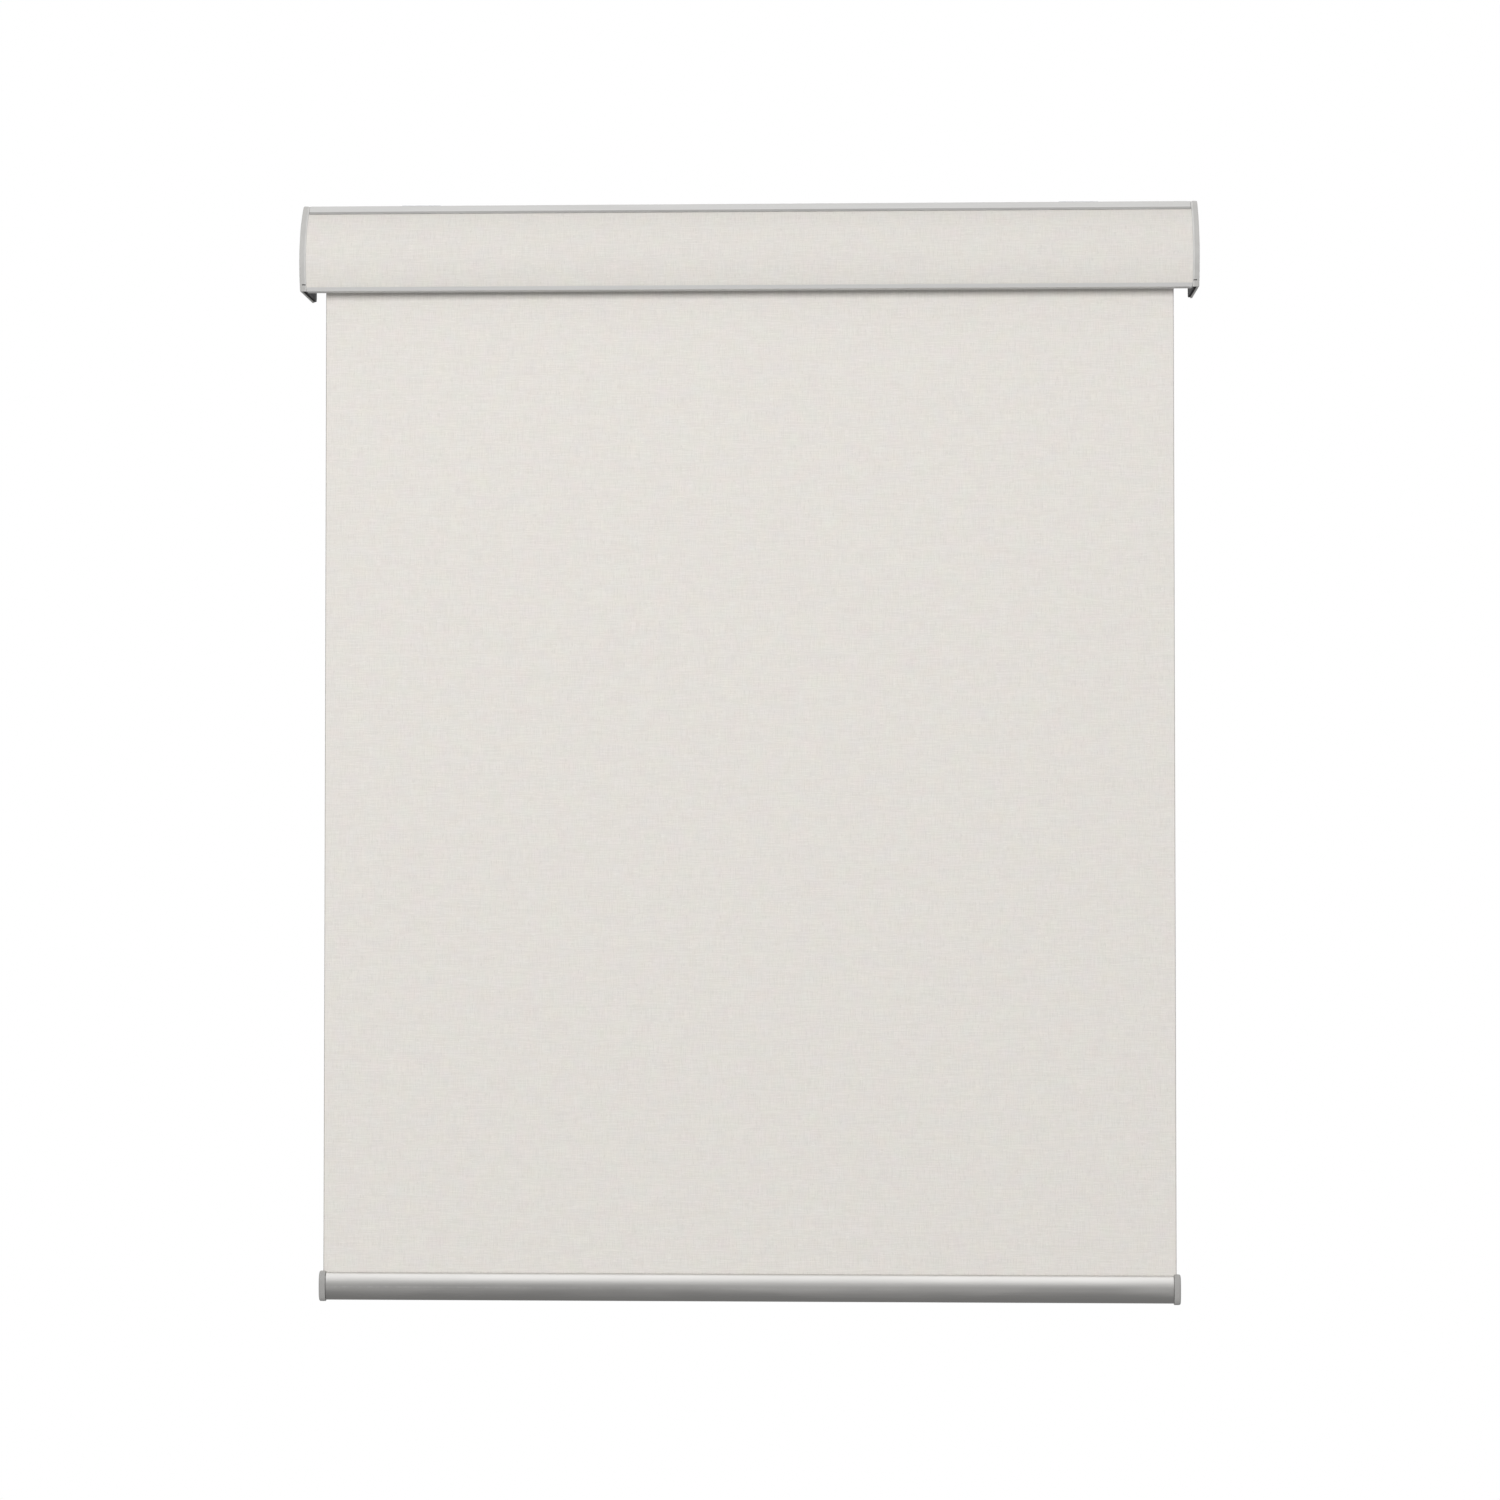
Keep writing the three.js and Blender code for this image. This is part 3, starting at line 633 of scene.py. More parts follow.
def edge_wear():
    """A mask of outward edges, broken up so that wear comes and goes along them."""
    group, enter, leave = start_group(
        "edge_wear", [("Place", VECTOR, None), ("Amount", FLOAT, 0.5)], [("Mask", FLOAT)])
    shape = place_node(group, "ShaderNodeNewGeometry")
    edge = remapped(group, shape.outputs["Pointiness"], 0.52, 0.6, 0.0, 1.0)
    patchy = stretched_noise(group, enter.outputs["Place"], (140.0, 140.0, 140.0), 4.0, 23.0)
    broken = remapped(group, patchy.outputs["Fac"], 0.38, 0.68, 0.0, 1.0)
    worn = calculate(group, "MULTIPLY", calculate(group, "MULTIPLY", edge, broken), enter.outputs["Amount"])
    group.links.new(worn, leave.inputs["Mask"])
    return group


def settled_dust():
    """A mask of faces that look up, where a thin layer of dust settles."""
    group, enter, leave = start_group(
        "settled_dust", [("Place", VECTOR, None), ("Amount", FLOAT, 0.3)], [("Mask", FLOAT)])
    shape = place_node(group, "ShaderNodeNewGeometry")
    axes = place_node(group, "ShaderNodeSeparateXYZ")
    feed(group, axes.inputs[0], shape.outputs["Normal"])
    upward = remapped(group, axes.outputs["Z"], 0.55, 0.98, 0.0, 1.0)
    drifts = stretched_noise(group, enter.outputs["Place"], (45.0, 120.0, 120.0), 5.0, 41.0)
    uneven = remapped(group, drifts.outputs["Fac"], 0.3, 0.75, 0.25, 1.0)
    layer = calculate(group, "MULTIPLY", calculate(group, "MULTIPLY", upward, uneven),
                      enter.outputs["Amount"])
    group.links.new(layer, leave.inputs["Mask"])
    return group


lines_group, grain_group, wear_group, dust_group = draw_lines(), moulded_grain(), edge_wear(), settled_dust()
print("shared effects", [g.name for g in bpy.data.node_groups])

# %% [markdown]
# ## Finishes
# Every finish is a material of its own that places the shared effects with its own numbers. The cloth is
# the same linen on the hanging sheet, on the roll and on the fascia. The way its place on the cloth is
# worked out differs, because a curved sheet measures its length along the curve. The fascia's copy is a
# little darker, as painted shade, and a much darker copy along the side edges is a painted shadow line.

# %% Material helpers
def start_material(name):
    """A material with only its Principled shader; gives its tree, shader and own coordinates."""
    look = bpy.data.materials.new(name)
    look.use_nodes = True
    tree = look.node_tree
    place = place_node(tree, "ShaderNodeTexCoord")
    return look, tree, tree.nodes["Principled BSDF"], place.outputs["Object"]


def effect(tree, group, place, **settings):
    """Puts a shared effect in a material."""
    made = place_node(tree, "ShaderNodeGroup", node_tree=group)
    feed(tree, made.inputs["Place"], place)
    for label, value in settings.items():
        feed(tree, made.inputs[label.replace("_", " ")], value)
    return made.outputs


def blended(tree, amount, first, second, blend="MIX"):
    """Mixes two colours."""
    made = place_node(tree, "ShaderNodeMix", data_type="RGBA", blend_type=blend)
    feed(tree, made.inputs[0], amount)
    feed(tree, made.inputs[6], first)
    feed(tree, made.inputs[7], second)
    return made.outputs[2]


def bumped(tree, shader, height, distance, strength=1.0):
    """Small relief on the shader's normal."""
    bump = place_node(tree, "ShaderNodeBump")
    feed(tree, bump.inputs["Height"], height)
    bump.inputs["Distance"].default_value = distance
    bump.inputs["Strength"].default_value = strength
    tree.links.new(bump.outputs[0], shader.inputs["Normal"])


def toned(colour, share=1.0):
    """A colour made lighter or darker, with its alpha."""
    return tuple(min(1, c * share) for c in colour[:3]) + (1,)


dust_colour = (0.62, 0.59, 0.54, 1)

# %% Cloth finish
cloth_light = (0.812, 0.781, 0.738)
cloth_dark = (0.716, 0.687, 0.644)
cloth_patch = 0.055  # how far the faint patches pull the colour


def arc_place(tree, own, centre_y, centre_z, radius):
    """Where a point lies on a curved sheet: along X, and along the arc."""
    axes = place_node(tree, "ShaderNodeSeparateXYZ")
    feed(tree, axes.inputs[0], own)
    across = calculate(tree, "SUBTRACT", centre_y, axes.outputs["Y"])
    up = calculate(tree, "SUBTRACT", axes.outputs["Z"], centre_z)
    along = calculate(tree, "MULTIPLY", calculate(tree, "ARCTAN2", up, across), radius)
    joined = place_node(tree, "ShaderNodeCombineXYZ")
    feed(tree, joined.inputs["X"], axes.outputs["X"])
    feed(tree, joined.inputs["Y"], along)
    return joined.outputs[0]


def flat_place(tree, own):
    """Where a point lies on a sheet that hangs flat."""
    axes = place_node(tree, "ShaderNodeSeparateXYZ")
    feed(tree, axes.inputs[0], own)
    joined = place_node(tree, "ShaderNodeCombineXYZ")
    feed(tree, joined.inputs["X"], axes.outputs["X"])
    feed(tree, joined.inputs["Y"], axes.outputs["Z"])
    return joined.outputs[0]


def cloth_finish(name, place_on_cloth, painted_shade=1.0):
    """Linen-look cloth: two tones of thread, faint patches, a matt surface and its own relief; a share below
    one darkens the copy as painted shade.
    """
    look, tree, shader, own = start_material(name)
    place = place_on_cloth(tree, own)
    woven = effect(tree, weave_group, place)
    tone = remapped(tree, woven["Tone"], 0.25, 0.75, 0.0, 1.0)
    thread = blended(tree, tone, toned(cloth_dark, painted_shade), toned(cloth_light, painted_shade))
    patchy = blended(tree, cloth_patch, (1, 1, 1, 1), woven["Tint"])
    dusty = effect(tree, dust_group, own, Amount=0.15)["Mask"]
    colour = blended(tree, 1.0, thread, patchy, "MULTIPLY")
    tree.links.new(blended(tree, dusty, colour, dust_colour), shader.inputs["Base Color"])
    rough = remapped(tree, woven["Tone"], 0.2, 0.8, 0.97, 0.86)
    tree.links.new(rough, shader.inputs["Roughness"])
    shader.inputs["Sheen Weight"].default_value = 0.12
    shader.inputs["Sheen Roughness"].default_value = 0.5
    shader.inputs["Specular IOR Level"].default_value = 0.3
    bumped(tree, shader, woven["Height"], 0.06 * mm, 0.55)
    return look


hung_cloth = cloth_finish("linen_hung", flat_place)
# The fascia's copy is 0.95 as dark: painted shade, because the tilted fascia is lit more than the hanging
# cloth.
fascia_cloth = cloth_finish(
    "linen_fascia", lambda tree, own: arc_place(tree, own, arch_y, arch_z, front_radius), 0.95)
rolled_cloth = cloth_finish(
    "linen_rolled", lambda tree, own: arc_place(tree, own, axis_y, axis_z, tube_radius))
# A copy at 0.55 for the side edges: a painted shadow line.
painted_edge_shade = cloth_finish("linen_painted_edge_shade", flat_place, 0.55)
print("cloth colours", cloth_light, "to", cloth_dark)


# %% Metal finishes
bare_metal = (0.86, 0.86, 0.85, 1)


def metal_finish(name, colour, rough, depth=1.0, fineness=4200.0, wear=0.35, dust=0.25, metallic=1.0):
    """Drawn or rolled metal: lengthwise lines, clouded gloss, brighter worn edges and some dust."""
    look, tree, shader, own = start_material(name)
    drawn = effect(tree, lines_group, own, Fineness=fineness)
    worn = effect(tree, wear_group, own, Amount=wear)["Mask"]
    dusty = effect(tree, dust_group, own, Amount=dust)["Mask"]
    lines = remapped(tree, drawn["Lines"], 0.3, 0.7, 0.0, 1.0)
    lined = blended(tree, lines, toned(colour, 0.93), toned(colour))
    bare = blended(tree, worn, lined, bare_metal)
    tree.links.new(blended(tree, dusty, bare, dust_colour), shader.inputs["Base Color"])
    clouded = remapped(tree, drawn["Cloud"], 0.3, 0.7, rough - 0.05, rough + 0.06)
    lined_rough = calculate(tree, "ADD", clouded, calculate(tree, "MULTIPLY", drawn["Lines"], 0.08))
    tree.links.new(calculate(tree, "ADD", lined_rough, calculate(tree, "MULTIPLY", dusty, 0.4)),
                   shader.inputs["Roughness"])
    tree.links.new(calculate(tree, "MULTIPLY", calculate(tree, "SUBTRACT", 1.0, dusty), metallic),
                   shader.inputs["Metallic"])
    bumped(tree, shader, drawn["Lines"], 0.01 * mm * depth, 0.5)
    return look


anodised = metal_finish("anodised_profile", (0.624, 0.62, 0.61), 0.5, dust=0.12, metallic=0.1)
# A dark copy of the anodised finish for the catch under the top band: a painted shadow line along the top of
# the insert.
anodised_painted_shadow = metal_finish("anodised_painted_shadow", (0.36, 0.355, 0.345), 0.55, metallic=0.3)
satin = metal_finish("satin_hem_and_tube", (0.60, 0.59, 0.575), 0.34, 1.2)
zinc = metal_finish("zinc_plate", (0.55, 0.56, 0.58), 0.33, 0.8, 2600.0, 0.5, 0.3)
spring_steel = metal_finish("spring_steel", (0.30, 0.30, 0.31), 0.36, 0.6, 2600.0, 0.3, 0.0)
print("metal finishes", [look.name for look in (anodised, anodised_painted_shadow, satin, zinc, spring_steel)])


# %% Plastic and painted finishes
def moulded_finish(name, colour, rough, grain=1500.0, relief=0.02, wear=0.3, dust=0.25, gloss=0.5,
                   worn_colour=None):
    """Moulded plastic or powder coat: fine grain, slight mottling, rubbed edges and some dust."""
    look, tree, shader, own = start_material(name)
    textured = effect(tree, grain_group, own, Grain=grain)
    worn = effect(tree, wear_group, own, Amount=wear)["Mask"]
    dusty = effect(tree, dust_group, own, Amount=dust)["Mask"]
    speckle = remapped(tree, textured["Speckle"], 0.3, 0.7, 0.0, 1.0)
    mottled = blended(tree, speckle, toned(colour, 0.94), toned(colour))
    rubbed = blended(tree, worn, mottled, worn_colour or toned(colour, 1.18))
    tree.links.new(blended(tree, dusty, rubbed, dust_colour), shader.inputs["Base Color"])
    uneven = remapped(tree, textured["Speckle"], 0.3, 0.7, rough - 0.05, rough + 0.06)
    smoother = calculate(tree, "SUBTRACT", uneven, calculate(tree, "MULTIPLY", worn, 0.12))
    tree.links.new(calculate(tree, "ADD", smoother, calculate(tree, "MULTIPLY", dusty, 0.3)),
                   shader.inputs["Roughness"])
    shader.inputs["Specular IOR Level"].default_value = gloss
    bumped(tree, shader, textured["Height"], relief * mm, 0.6)
    return look


grey_plastic = moulded_finish("grey_cover_plastic", (0.485, 0.48, 0.466), 0.4)
# A lighter copy of the cover plastic for the strip's lower band: painted light.
grey_painted_light = moulded_finish("grey_cover_painted_light", (0.62, 0.615, 0.60), 0.36)
grey_hem_plastic = moulded_finish("grey_hem_plastic", (0.365, 0.36, 0.35), 0.42)
black_coat = moulded_finish("black_powder_coat", (0.012, 0.012, 0.013), 0.6, 900.0, 0.03, 0.2, 0.04, 0.12,
                            (0.06, 0.06, 0.06, 1))
nylon = moulded_finish("white_nylon", (0.74, 0.73, 0.69), 0.44, 1100.0, 0.015, 0.2, 0.1)
print("finishes", sorted(m.name for m in bpy.data.materials))

# %% [markdown]
# ## The fascia
# The fascia is one aluminium extrusion with a curved web. A plain band above and a lip below stand
# proud of the web, and a thin overhang on each holds the cloth insert. A tongue at the top slides into
# the rail, and a ledge at the bottom stiffens the lip. One closed outline holds all of it.

# %% Fascia profile
fascia_low, fascia_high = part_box("fascia_panel")
bead_top = 10.6 * mm
bead_bottom = 1.6 * mm
insert_catch = 2.6 * mm
insert_lip = 0.4 * mm
insert_depth = 1.7 * mm
insert_radius_limit = front_radius - 0.6 * mm
sheet_wall = 1.6 * mm
ledge_reach = 9 * mm
shelf_top = head_top - 1.9 * mm
shelf_back = head_front + top_set_back + 8 * mm


def fascia_section():
    """Round the outside from the top, along the ledge, back up the inside and along the tongue."""
    lip_radius = front_radius - insert_lip
    web_outer = front_radius - insert_depth
    web_inner = web_outer - sheet_wall
    top_bead = top_angle - bead_top / front_radius
    top_catch = top_bead - insert_catch / front_radius
    low_bead = bottom_angle + bead_bottom / front_radius
    low_catch = low_bead + insert_catch / front_radius
    ledge_back = arch_point(web_inner, bottom_angle)[0] + ledge_reach
    ledge_top = head_bottom + sheet_wall
    shelf_under = shelf_top - sheet_wall
    points = arch_run(front_radius, top_angle, top_catch)
    points += arch_run(lip_radius, top_catch, top_bead)
    points += arch_run(web_outer, top_bead, low_bead)
    points += arch_run(lip_radius, low_bead, low_catch)
    points += arch_run(front_radius, low_catch, bottom_angle)
    points += [(ledge_back, head_bottom), (ledge_back, ledge_top)]
    points += arch_run(web_inner, arch_angle(ledge_top, web_inner), arch_angle(shelf_under, web_inner))
    points += [(shelf_back, shelf_under), (shelf_back, shelf_top)]
    share = (head_top - shelf_top) / (front_radius * math.sin(top_angle))
    points.append(arch_point(front_radius * (1 - share), top_angle))
    return soften(points, 0.3 * mm)


fascia = extruded("fascia_profile", [fascia_section()], fascia_low.x, fascia_high.x, 0.15 * mm)
settle(fascia, anodised, "headbox", "anodised_aluminium", "fascia_panel")
# The catch under the top band takes the dark copy: a painted shadow line where the insert meets the band.
fascia.data.materials.append(anodised_painted_shadow)
catch_from = top_angle - bead_top / front_radius
catch_to = catch_from - insert_catch / front_radius - 0.004
for face in fascia.data.polygons:
    from_centre = Vector((arch_y - face.center.y, face.center.z - arch_z))
    angle = math.atan2(from_centre.y, from_centre.x)
    if from_centre.length > insert_radius_limit and catch_to < angle < catch_from:
        face.material_index = 1

# %% [markdown]
# ## Cloth sheets
# All three cloth pieces are real sheets with two faces and four cut edges. A sheet is built as a grid over
# its width and length and then given its thickness, so that it can curve with the fascia, wind on the
# roll or hang. The linen stays flat on a roller blind, because the hem bar keeps it taut.

# %% Sheet builder
def sheet_piece(name, width, stations, thickness, columns, wander=0.0):
    """A sheet across X. Each station along it gives its place and outward direction in Y-Z."""
    edge = 0.7 * mm
    inner = [-width / 2 + edge + (width - 2 * edge) * i / columns for i in range(columns + 1)]
    across = [-width / 2, *inner, width / 2]
    builder = bmesh.new()
    faces = []
    for side in (1, -1):
        rows = []
        for index, ((y, z), (ny, nz)) in enumerate(stations):
            row = []
            for x in across:
                lift = side * thickness / 2 + wander * ripple(x, z)
                row.append(builder.verts.new((x, y + ny * lift, z + nz * lift)))
            rows.append(row)
        skin(builder, rows, closed_section=False)
        faces.append(rows)
    front, back = faces
    for line in (0, -1):
        skin(builder, [[row[line] for row in front], [row[line] for row in back]], closed_section=False)
        skin(builder, [front[line], back[line]], closed_section=False)
    return object_from(name, builder)


def ripple(x, z):
    """The slight unevenness of a hanging sheet, from minus one to one."""
    slow = math.sin(4.1 * x + 0.9 * math.sin(3.0 * z)) * math.sin(2.2 * z + 0.7)
    cupping = (abs(x) / (cloth_high.x)) ** 8 * math.sin(5.2 * z + 1.3 * (1 if x > 0 else -1))
    return 0.6 * slow + 0.4 * cupping


def outward(y, z, centre_y, centre_z):
    """The direction from a centre to a point, in Y-Z."""
    direction = Vector((y - centre_y, z - centre_z)).normalized()
    return (direction.x, direction.y)


def shade_side_edges(piece):
    """A much darker copy of the linen along both side edges: a painted shadow line."""
    piece.data.materials.append(painted_edge_shade)
    shade_from = max(abs(v.co.x) for v in piece.data.vertices) - 0.75 * mm
    for face in piece.data.polygons:
        if abs(face.center.x) > shade_from:
            face.material_index = 1


# %% Cloth insert of the fascia
insert_thick = 0.7 * mm
insert_radius = front_radius - insert_lip - gap - insert_thick / 2
insert_from = top_angle - (bead_top + gap) / front_radius
insert_to = bottom_angle + (bead_bottom + gap) / front_radius
insert_line = arch_run(insert_radius, insert_from, insert_to, 1.5 * mm)
insert_stations = [(p, outward(*p, arch_y, arch_z)) for p in insert_line]
insert_width = 2 * (fascia_high.x + 0.22 * mm)
insert = sheet_piece("fascia_cloth", insert_width, insert_stations, insert_thick - 0.02 * mm, 120)
settle(insert, fascia_cloth, "headbox", "blind_cloth", "fascia_fabric")

# %% Hanging cloth
cloth_width = cloth_high.x - cloth_low.x
cloth_length = cloth_high.z - cloth_low.z
cloth_rows = 150
waviness = 0.5 * mm
still_below, still_above = 60 * mm, 120 * mm  # lengths over which the cloth is held straight
levels = [cloth_high.z - cloth_length * i / cloth_rows for i in range(cloth_rows + 1)]
cloth_stations = [((cloth_y, z), (-1, 0)) for z in levels]
cloth = sheet_piece("hanging_cloth", cloth_width, cloth_stations, cloth_thick, 110)
for vertex in cloth.data.vertices:
    x, y, z = vertex.co
    free = min(1.0, (z - cloth_low.z) / still_below) * min(1.0, (cloth_high.z - z) / still_above)
    vertex.co.y = y + waviness * ripple(x, z) * max(0.0, free)
settle(cloth, hung_cloth, "headbox", "blind_cloth", "cloth_sheet")
# Painted shadow lines along the side edges.
shade_side_edges(cloth)
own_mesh(cloth)
print("hanging cloth is cut", round(cloth_width, 3), "by", round(cloth_length, 3), "m")

# %% Cloth on the roll
wrap_low, wrap_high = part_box("cloth_wraps")
wrap_radius = (wrap_high.y - wrap_low.y) / 2
layer = 0.45 * mm
layer_pitch = 0.47 * mm
roll_turns = 2.25


def roll_stations():
    """The cloth winds on from the key groove at the top of the tube to the front of the roll."""
    steps = 160
    stations = []
    for step in range(steps + 1):
        inside = roll_turns * (1 - step / steps)
        angle = math.pi - 2 * math.pi * inside
        radius = wrap_radius - layer / 2 - layer_pitch * inside
        place = about_axis(radius, angle)
        stations.append((place, outward(*place, axis_y, axis_z)))
    return stations


wound_line = roll_stations()
wound_length = sum((Vector(a[0]) - Vector(b[0])).length for a, b in zip(wound_line, wound_line[1:]))
roll = sheet_piece("cloth_roll", cloth_width, wound_line, layer, 24)
settle(roll, rolled_cloth, "roller", "blind_cloth", "cloth_wraps")
# Painted shadow lines along the side edges.
shade_side_edges(roll)
print("cloth on the roll is", round(wound_length, 3), "m long")

# %% [markdown]
# ## End covers
# Each cover is one moulding: a plate over the cassette's end, and a strip that wraps the fascia's end.
# The strip has a higher outer band and a lower inner one. Three pegs push into the bracket behind it,
# and a small notch near the bottom lets a blade release the cover.

# %% End covers
cover_plate = 2.2 * mm
cover_corner = 4 * mm
strip_step = 5.2 * mm
strip_wide = half_width + cover_high.x
strip_thick = 2 * mm
strip_drop = 0.5 * mm
bracket_low, bracket_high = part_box("bracket_right")
peg_radius = 2.5 * mm
notch_wide, notch_high, notch_rise = 3.6 * mm, 1.0 * mm, 6 * mm


def end_outline(radius, inset):
    """The cassette seen from its end: arc at the front, straight elsewhere, one rounded rear corner."""
    points = arch_run(radius, arch_angle(head_top - inset, radius), arch_angle(head_bottom + inset, radius))
    rear = head_rear - inset
    for step in range(9):
        angle = -math.pi / 2 + math.pi / 2 * step / 8
        points.append((rear - cover_corner + cover_corner * math.cos(angle),
                       head_bottom + inset + cover_corner + cover_corner * math.sin(angle)))
    points.append((rear, head_top - inset))
    return soften(points, 1.1 * mm)


def arch_swept(name, section, start, stop, steps=56):
    """Sweeps a closed (x, radius) section along the front arc."""
    builder = bmesh.new()
    rings = []
    for i in range(steps + 1):
        angle = start + (stop - start) * i / steps
        rings.append([builder.verts.new((x, *arch_point(radius, angle))) for x, radius in section])
    skin(builder, rings)
    lid(builder, [rings[0]])
    lid(builder, [rings[-1]])
    return object_from(name, builder)


def strip_section():
    """The strip's section. Its root is buried in the plate and stands a hair proud, for a clean join."""
    root, step, lip = half_width - 1.2 * mm, half_width - strip_step, half_width - strip_wide
    crown, inside = front_radius + 0.02 * mm, front_radius - strip_thick
    corners = [(root, inside), (root, crown), (step, crown), (step, front_radius - strip_drop),
               (lip, front_radius - strip_drop), (lip, inside)]
    return [(-x, radius) for x, radius in corners[:2] + soften(corners, 0.45 * mm)[8:]]


def peg_places():
    """Where the cover's pegs enter the bracket, as (y, z)."""
    return [(head_rear - 16 * mm, head_bottom + 12 * mm), (head_front + 14 * mm, arch_z),
            (head_rear - 10 * mm, axis_z + 2 * mm)]


def end_cover():
    """The left cover."""
    peg_end = bracket_low.x - 1.2 * mm
    plate = extruded("end_cap_left", [end_outline(front_radius, 0)], -half_width, cover_plate - half_width,
                     0.6 * mm, 0.05 * mm)
    tools = [arch_swept("strip", strip_section(), top_angle, bottom_angle)]
    tools += [extruded("peg", [ring(y, z, peg_radius)], 1.2 * mm - half_width, -peg_end, 0, 0.5 * mm)
              for y, z in peg_places()]
    combine(plate, tools, "UNION")
    front_y = arch_point(front_radius, bottom_angle)[0]
    notch_x = strip_wide - half_width - 0.6 * mm
    slot_z = head_bottom + notch_rise
    notch = extruded("notch", [rectangle(front_y - 6 * mm, front_y + 0.9 * mm, slot_z, slot_z + notch_high)],
                     notch_x - notch_wide, notch_x, 0)
    return combine(plate, [notch], "DIFFERENCE")


def paint_light_on_band(cover):
    """The strip's lower band takes a lighter copy of the cover plastic: painted light."""
    cover.data.materials.append(grey_painted_light)
    for face in cover.data.polygons:
        along = abs(face.center.x)
        out = Vector((arch_y - face.center.y, face.center.z - arch_z)).length
        on_band = half_width - strip_wide - 0.01 * mm < along < half_width - strip_step + 0.2 * mm
        if on_band and out > front_radius - 0.8 * mm and face.center.y < arch_y:
            face.material_index = 1


left_cover = end_cover()
right_cover = mirrored(left_cover, "end_cap_right")
for hand, cover in (("left", left_cover), ("right", right_cover)):
    settle(cover, grey_plastic, "headbox", "cover_plastic", f"end_cover_{hand}")
    # The strip's lower band gets painted light.
    paint_light_on_band(cover)

# %% [markdown]
# ## Brackets and their screws
# Inside each cover stands a stamped steel bracket, powder coated black. Countersunk screws hold it to
# the rail's two screw ports. The left bracket has an upright slot that stops the spring unit from
# turning; the right one has a round hole for the bush that carries the idle pin.

# %% Brackets
port_rear = (head_rear - 4.2 * mm, head_top - 4.2 * mm)
port_front = (head_front + top_set_back + 19 * mm, head_top - 4.2 * mm)
bracket_inset = 0.8 * mm
bracket_out, bracket_in = bracket_high.x, bracket_low.x
anchor_slot = rectangle(axis_y - 2.3 * mm, axis_y + 2.3 * mm, axis_z - 5.8 * mm, axis_z + 5.8 * mm)
bush_hole = ring(axis_y, axis_z, 6.15 * mm)


def bracket(side, hand):
    """A plate with its holes, countersunk for the screws on the outside."""
    holes = [soften(anchor_slot, 0.8 * mm) if side < 0 else bush_hole]
    holes += [ring(y, z, peg_radius + gap) for y, z in peg_places()]
    holes += [ring(y, z, 1.75 * mm, 32) for y, z in (port_rear, port_front)]
    outline = end_outline(front_radius - strip_thick - gap, bracket_inset)
    plate = extruded(f"bracket_plate_{hand}", [outline, *holes], side * bracket_in, side * bracket_out,
                     0.3 * mm)
    wide, narrow = side * (bracket_out + 0.1 * mm), side * (bracket_out - 1.7 * mm)
    sink = [(wide, 0), (wide, 3.5 * mm), (narrow, 1.72 * mm), (narrow, 0)]
    cones = [turned("cone", sink, 0, 40, y, z) for y, z in (port_rear, port_front)]
    return combine(plate, cones, "DIFFERENCE")


def screw(side, hand, place, port):
    """A countersunk screw with a cross recess and a rolled thread."""
    head = bracket_out - 0.2 * mm
    outline = [(head, 0), (head, 3.1 * mm), (head - 1.7 * mm, 1.45 * mm)]
    pitch = 0.8 * mm
    for turn in range(9):
        start = head - 2.4 * mm - turn * pitch
        outline += [(start, 1.2 * mm), (start - pitch / 2, 1.5 * mm)]
    outline += [(head - 11.8 * mm, 0)]
    body = turned(f"screw_{hand}_{place}", [(side * x, r) for x, r in outline], 0.12 * mm, 40, *port)
    y, z = port
    long, thin, deep = 1.9 * mm, 0.42 * mm, 1.1 * mm
    recess = [extruded("recess", [rectangle(y - a, y + a, z - b, z + b)], side * (head + 1 * mm),
                       side * (head - deep), 0) for a, b in ((long, thin), (thin, long))]
    return combine(body, recess, "DIFFERENCE")


for side, hand in ((-1, "left"), (1, "right")):
    settle(bracket(side, hand), black_coat, "headbox", "black_steel", f"bracket_{hand}")
    for place, port in (("rear", port_rear), ("front", port_front)):
        fixing = screw(side, hand, place, port)
        settle(fixing, zinc, "headbox", "zinc_steel", f"bracket_screw_{hand}_{place}")

# %% [markdown]
# ## Head rail
# The rail is the cassette's roof: an extrusion with a rear flange, a groove for the clips and two screw
# ports. Its section is right as the model has it, so the piece takes that section, merges its flat
# faces and rounds every edge a little, as a die does.

# %% Refined copies
def refined(node, name, edge):
    """A copy of a node with its flat faces merged and its sharp edges rounded."""
    builder = bmesh.new()
    builder.from_mesh(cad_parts[node].data)
    bmesh.ops.remove_doubles(builder, verts=builder.verts, dist=0.01 * mm)
    bmesh.ops.dissolve_limit(builder, angle_limit=math.radians(2), verts=builder.verts, edges=builder.edges)
    piece = object_from(name, builder)
    rounding = piece.modifiers.new("rounded_edges", "BEVEL")
    rounding.width = edge
    rounding.segments = 2
    rounding.limit_method = "ANGLE"
    rounding.angle_limit = math.radians(35)
    rounding.use_clamp_overlap = True
    return piece


settle(refined("head_rail", "top_rail", 0.2 * mm), anodised, "headbox", "anodised_aluminium", "head_rail")

# %% [markdown]
# ## Mounting clips
# A clip is one piece of spring steel: a sheet against the ceiling folds down the wall, a narrow hook at
# the front drops into the rail's groove, and a tab at the back snaps under the rail's foot. Folded sheet
# has rounded bends, so each strip is drawn as a bent line with a thickness.

# %% Mounting clips
clip_plate = 2 * mm
groove_back = head_front + top_set_back + 14.8 * mm
hook_sheet = 1.5 * mm
hook_back = groove_back - 0.55 * mm
hook_middle = hook_back - hook_sheet / 2
catch_top = head_top - 14.4 * mm
catch_front = head_rear - 6 * mm
hole_spread, hole_set, hole_drop = 13 * mm, 25 * mm, 11 * mm


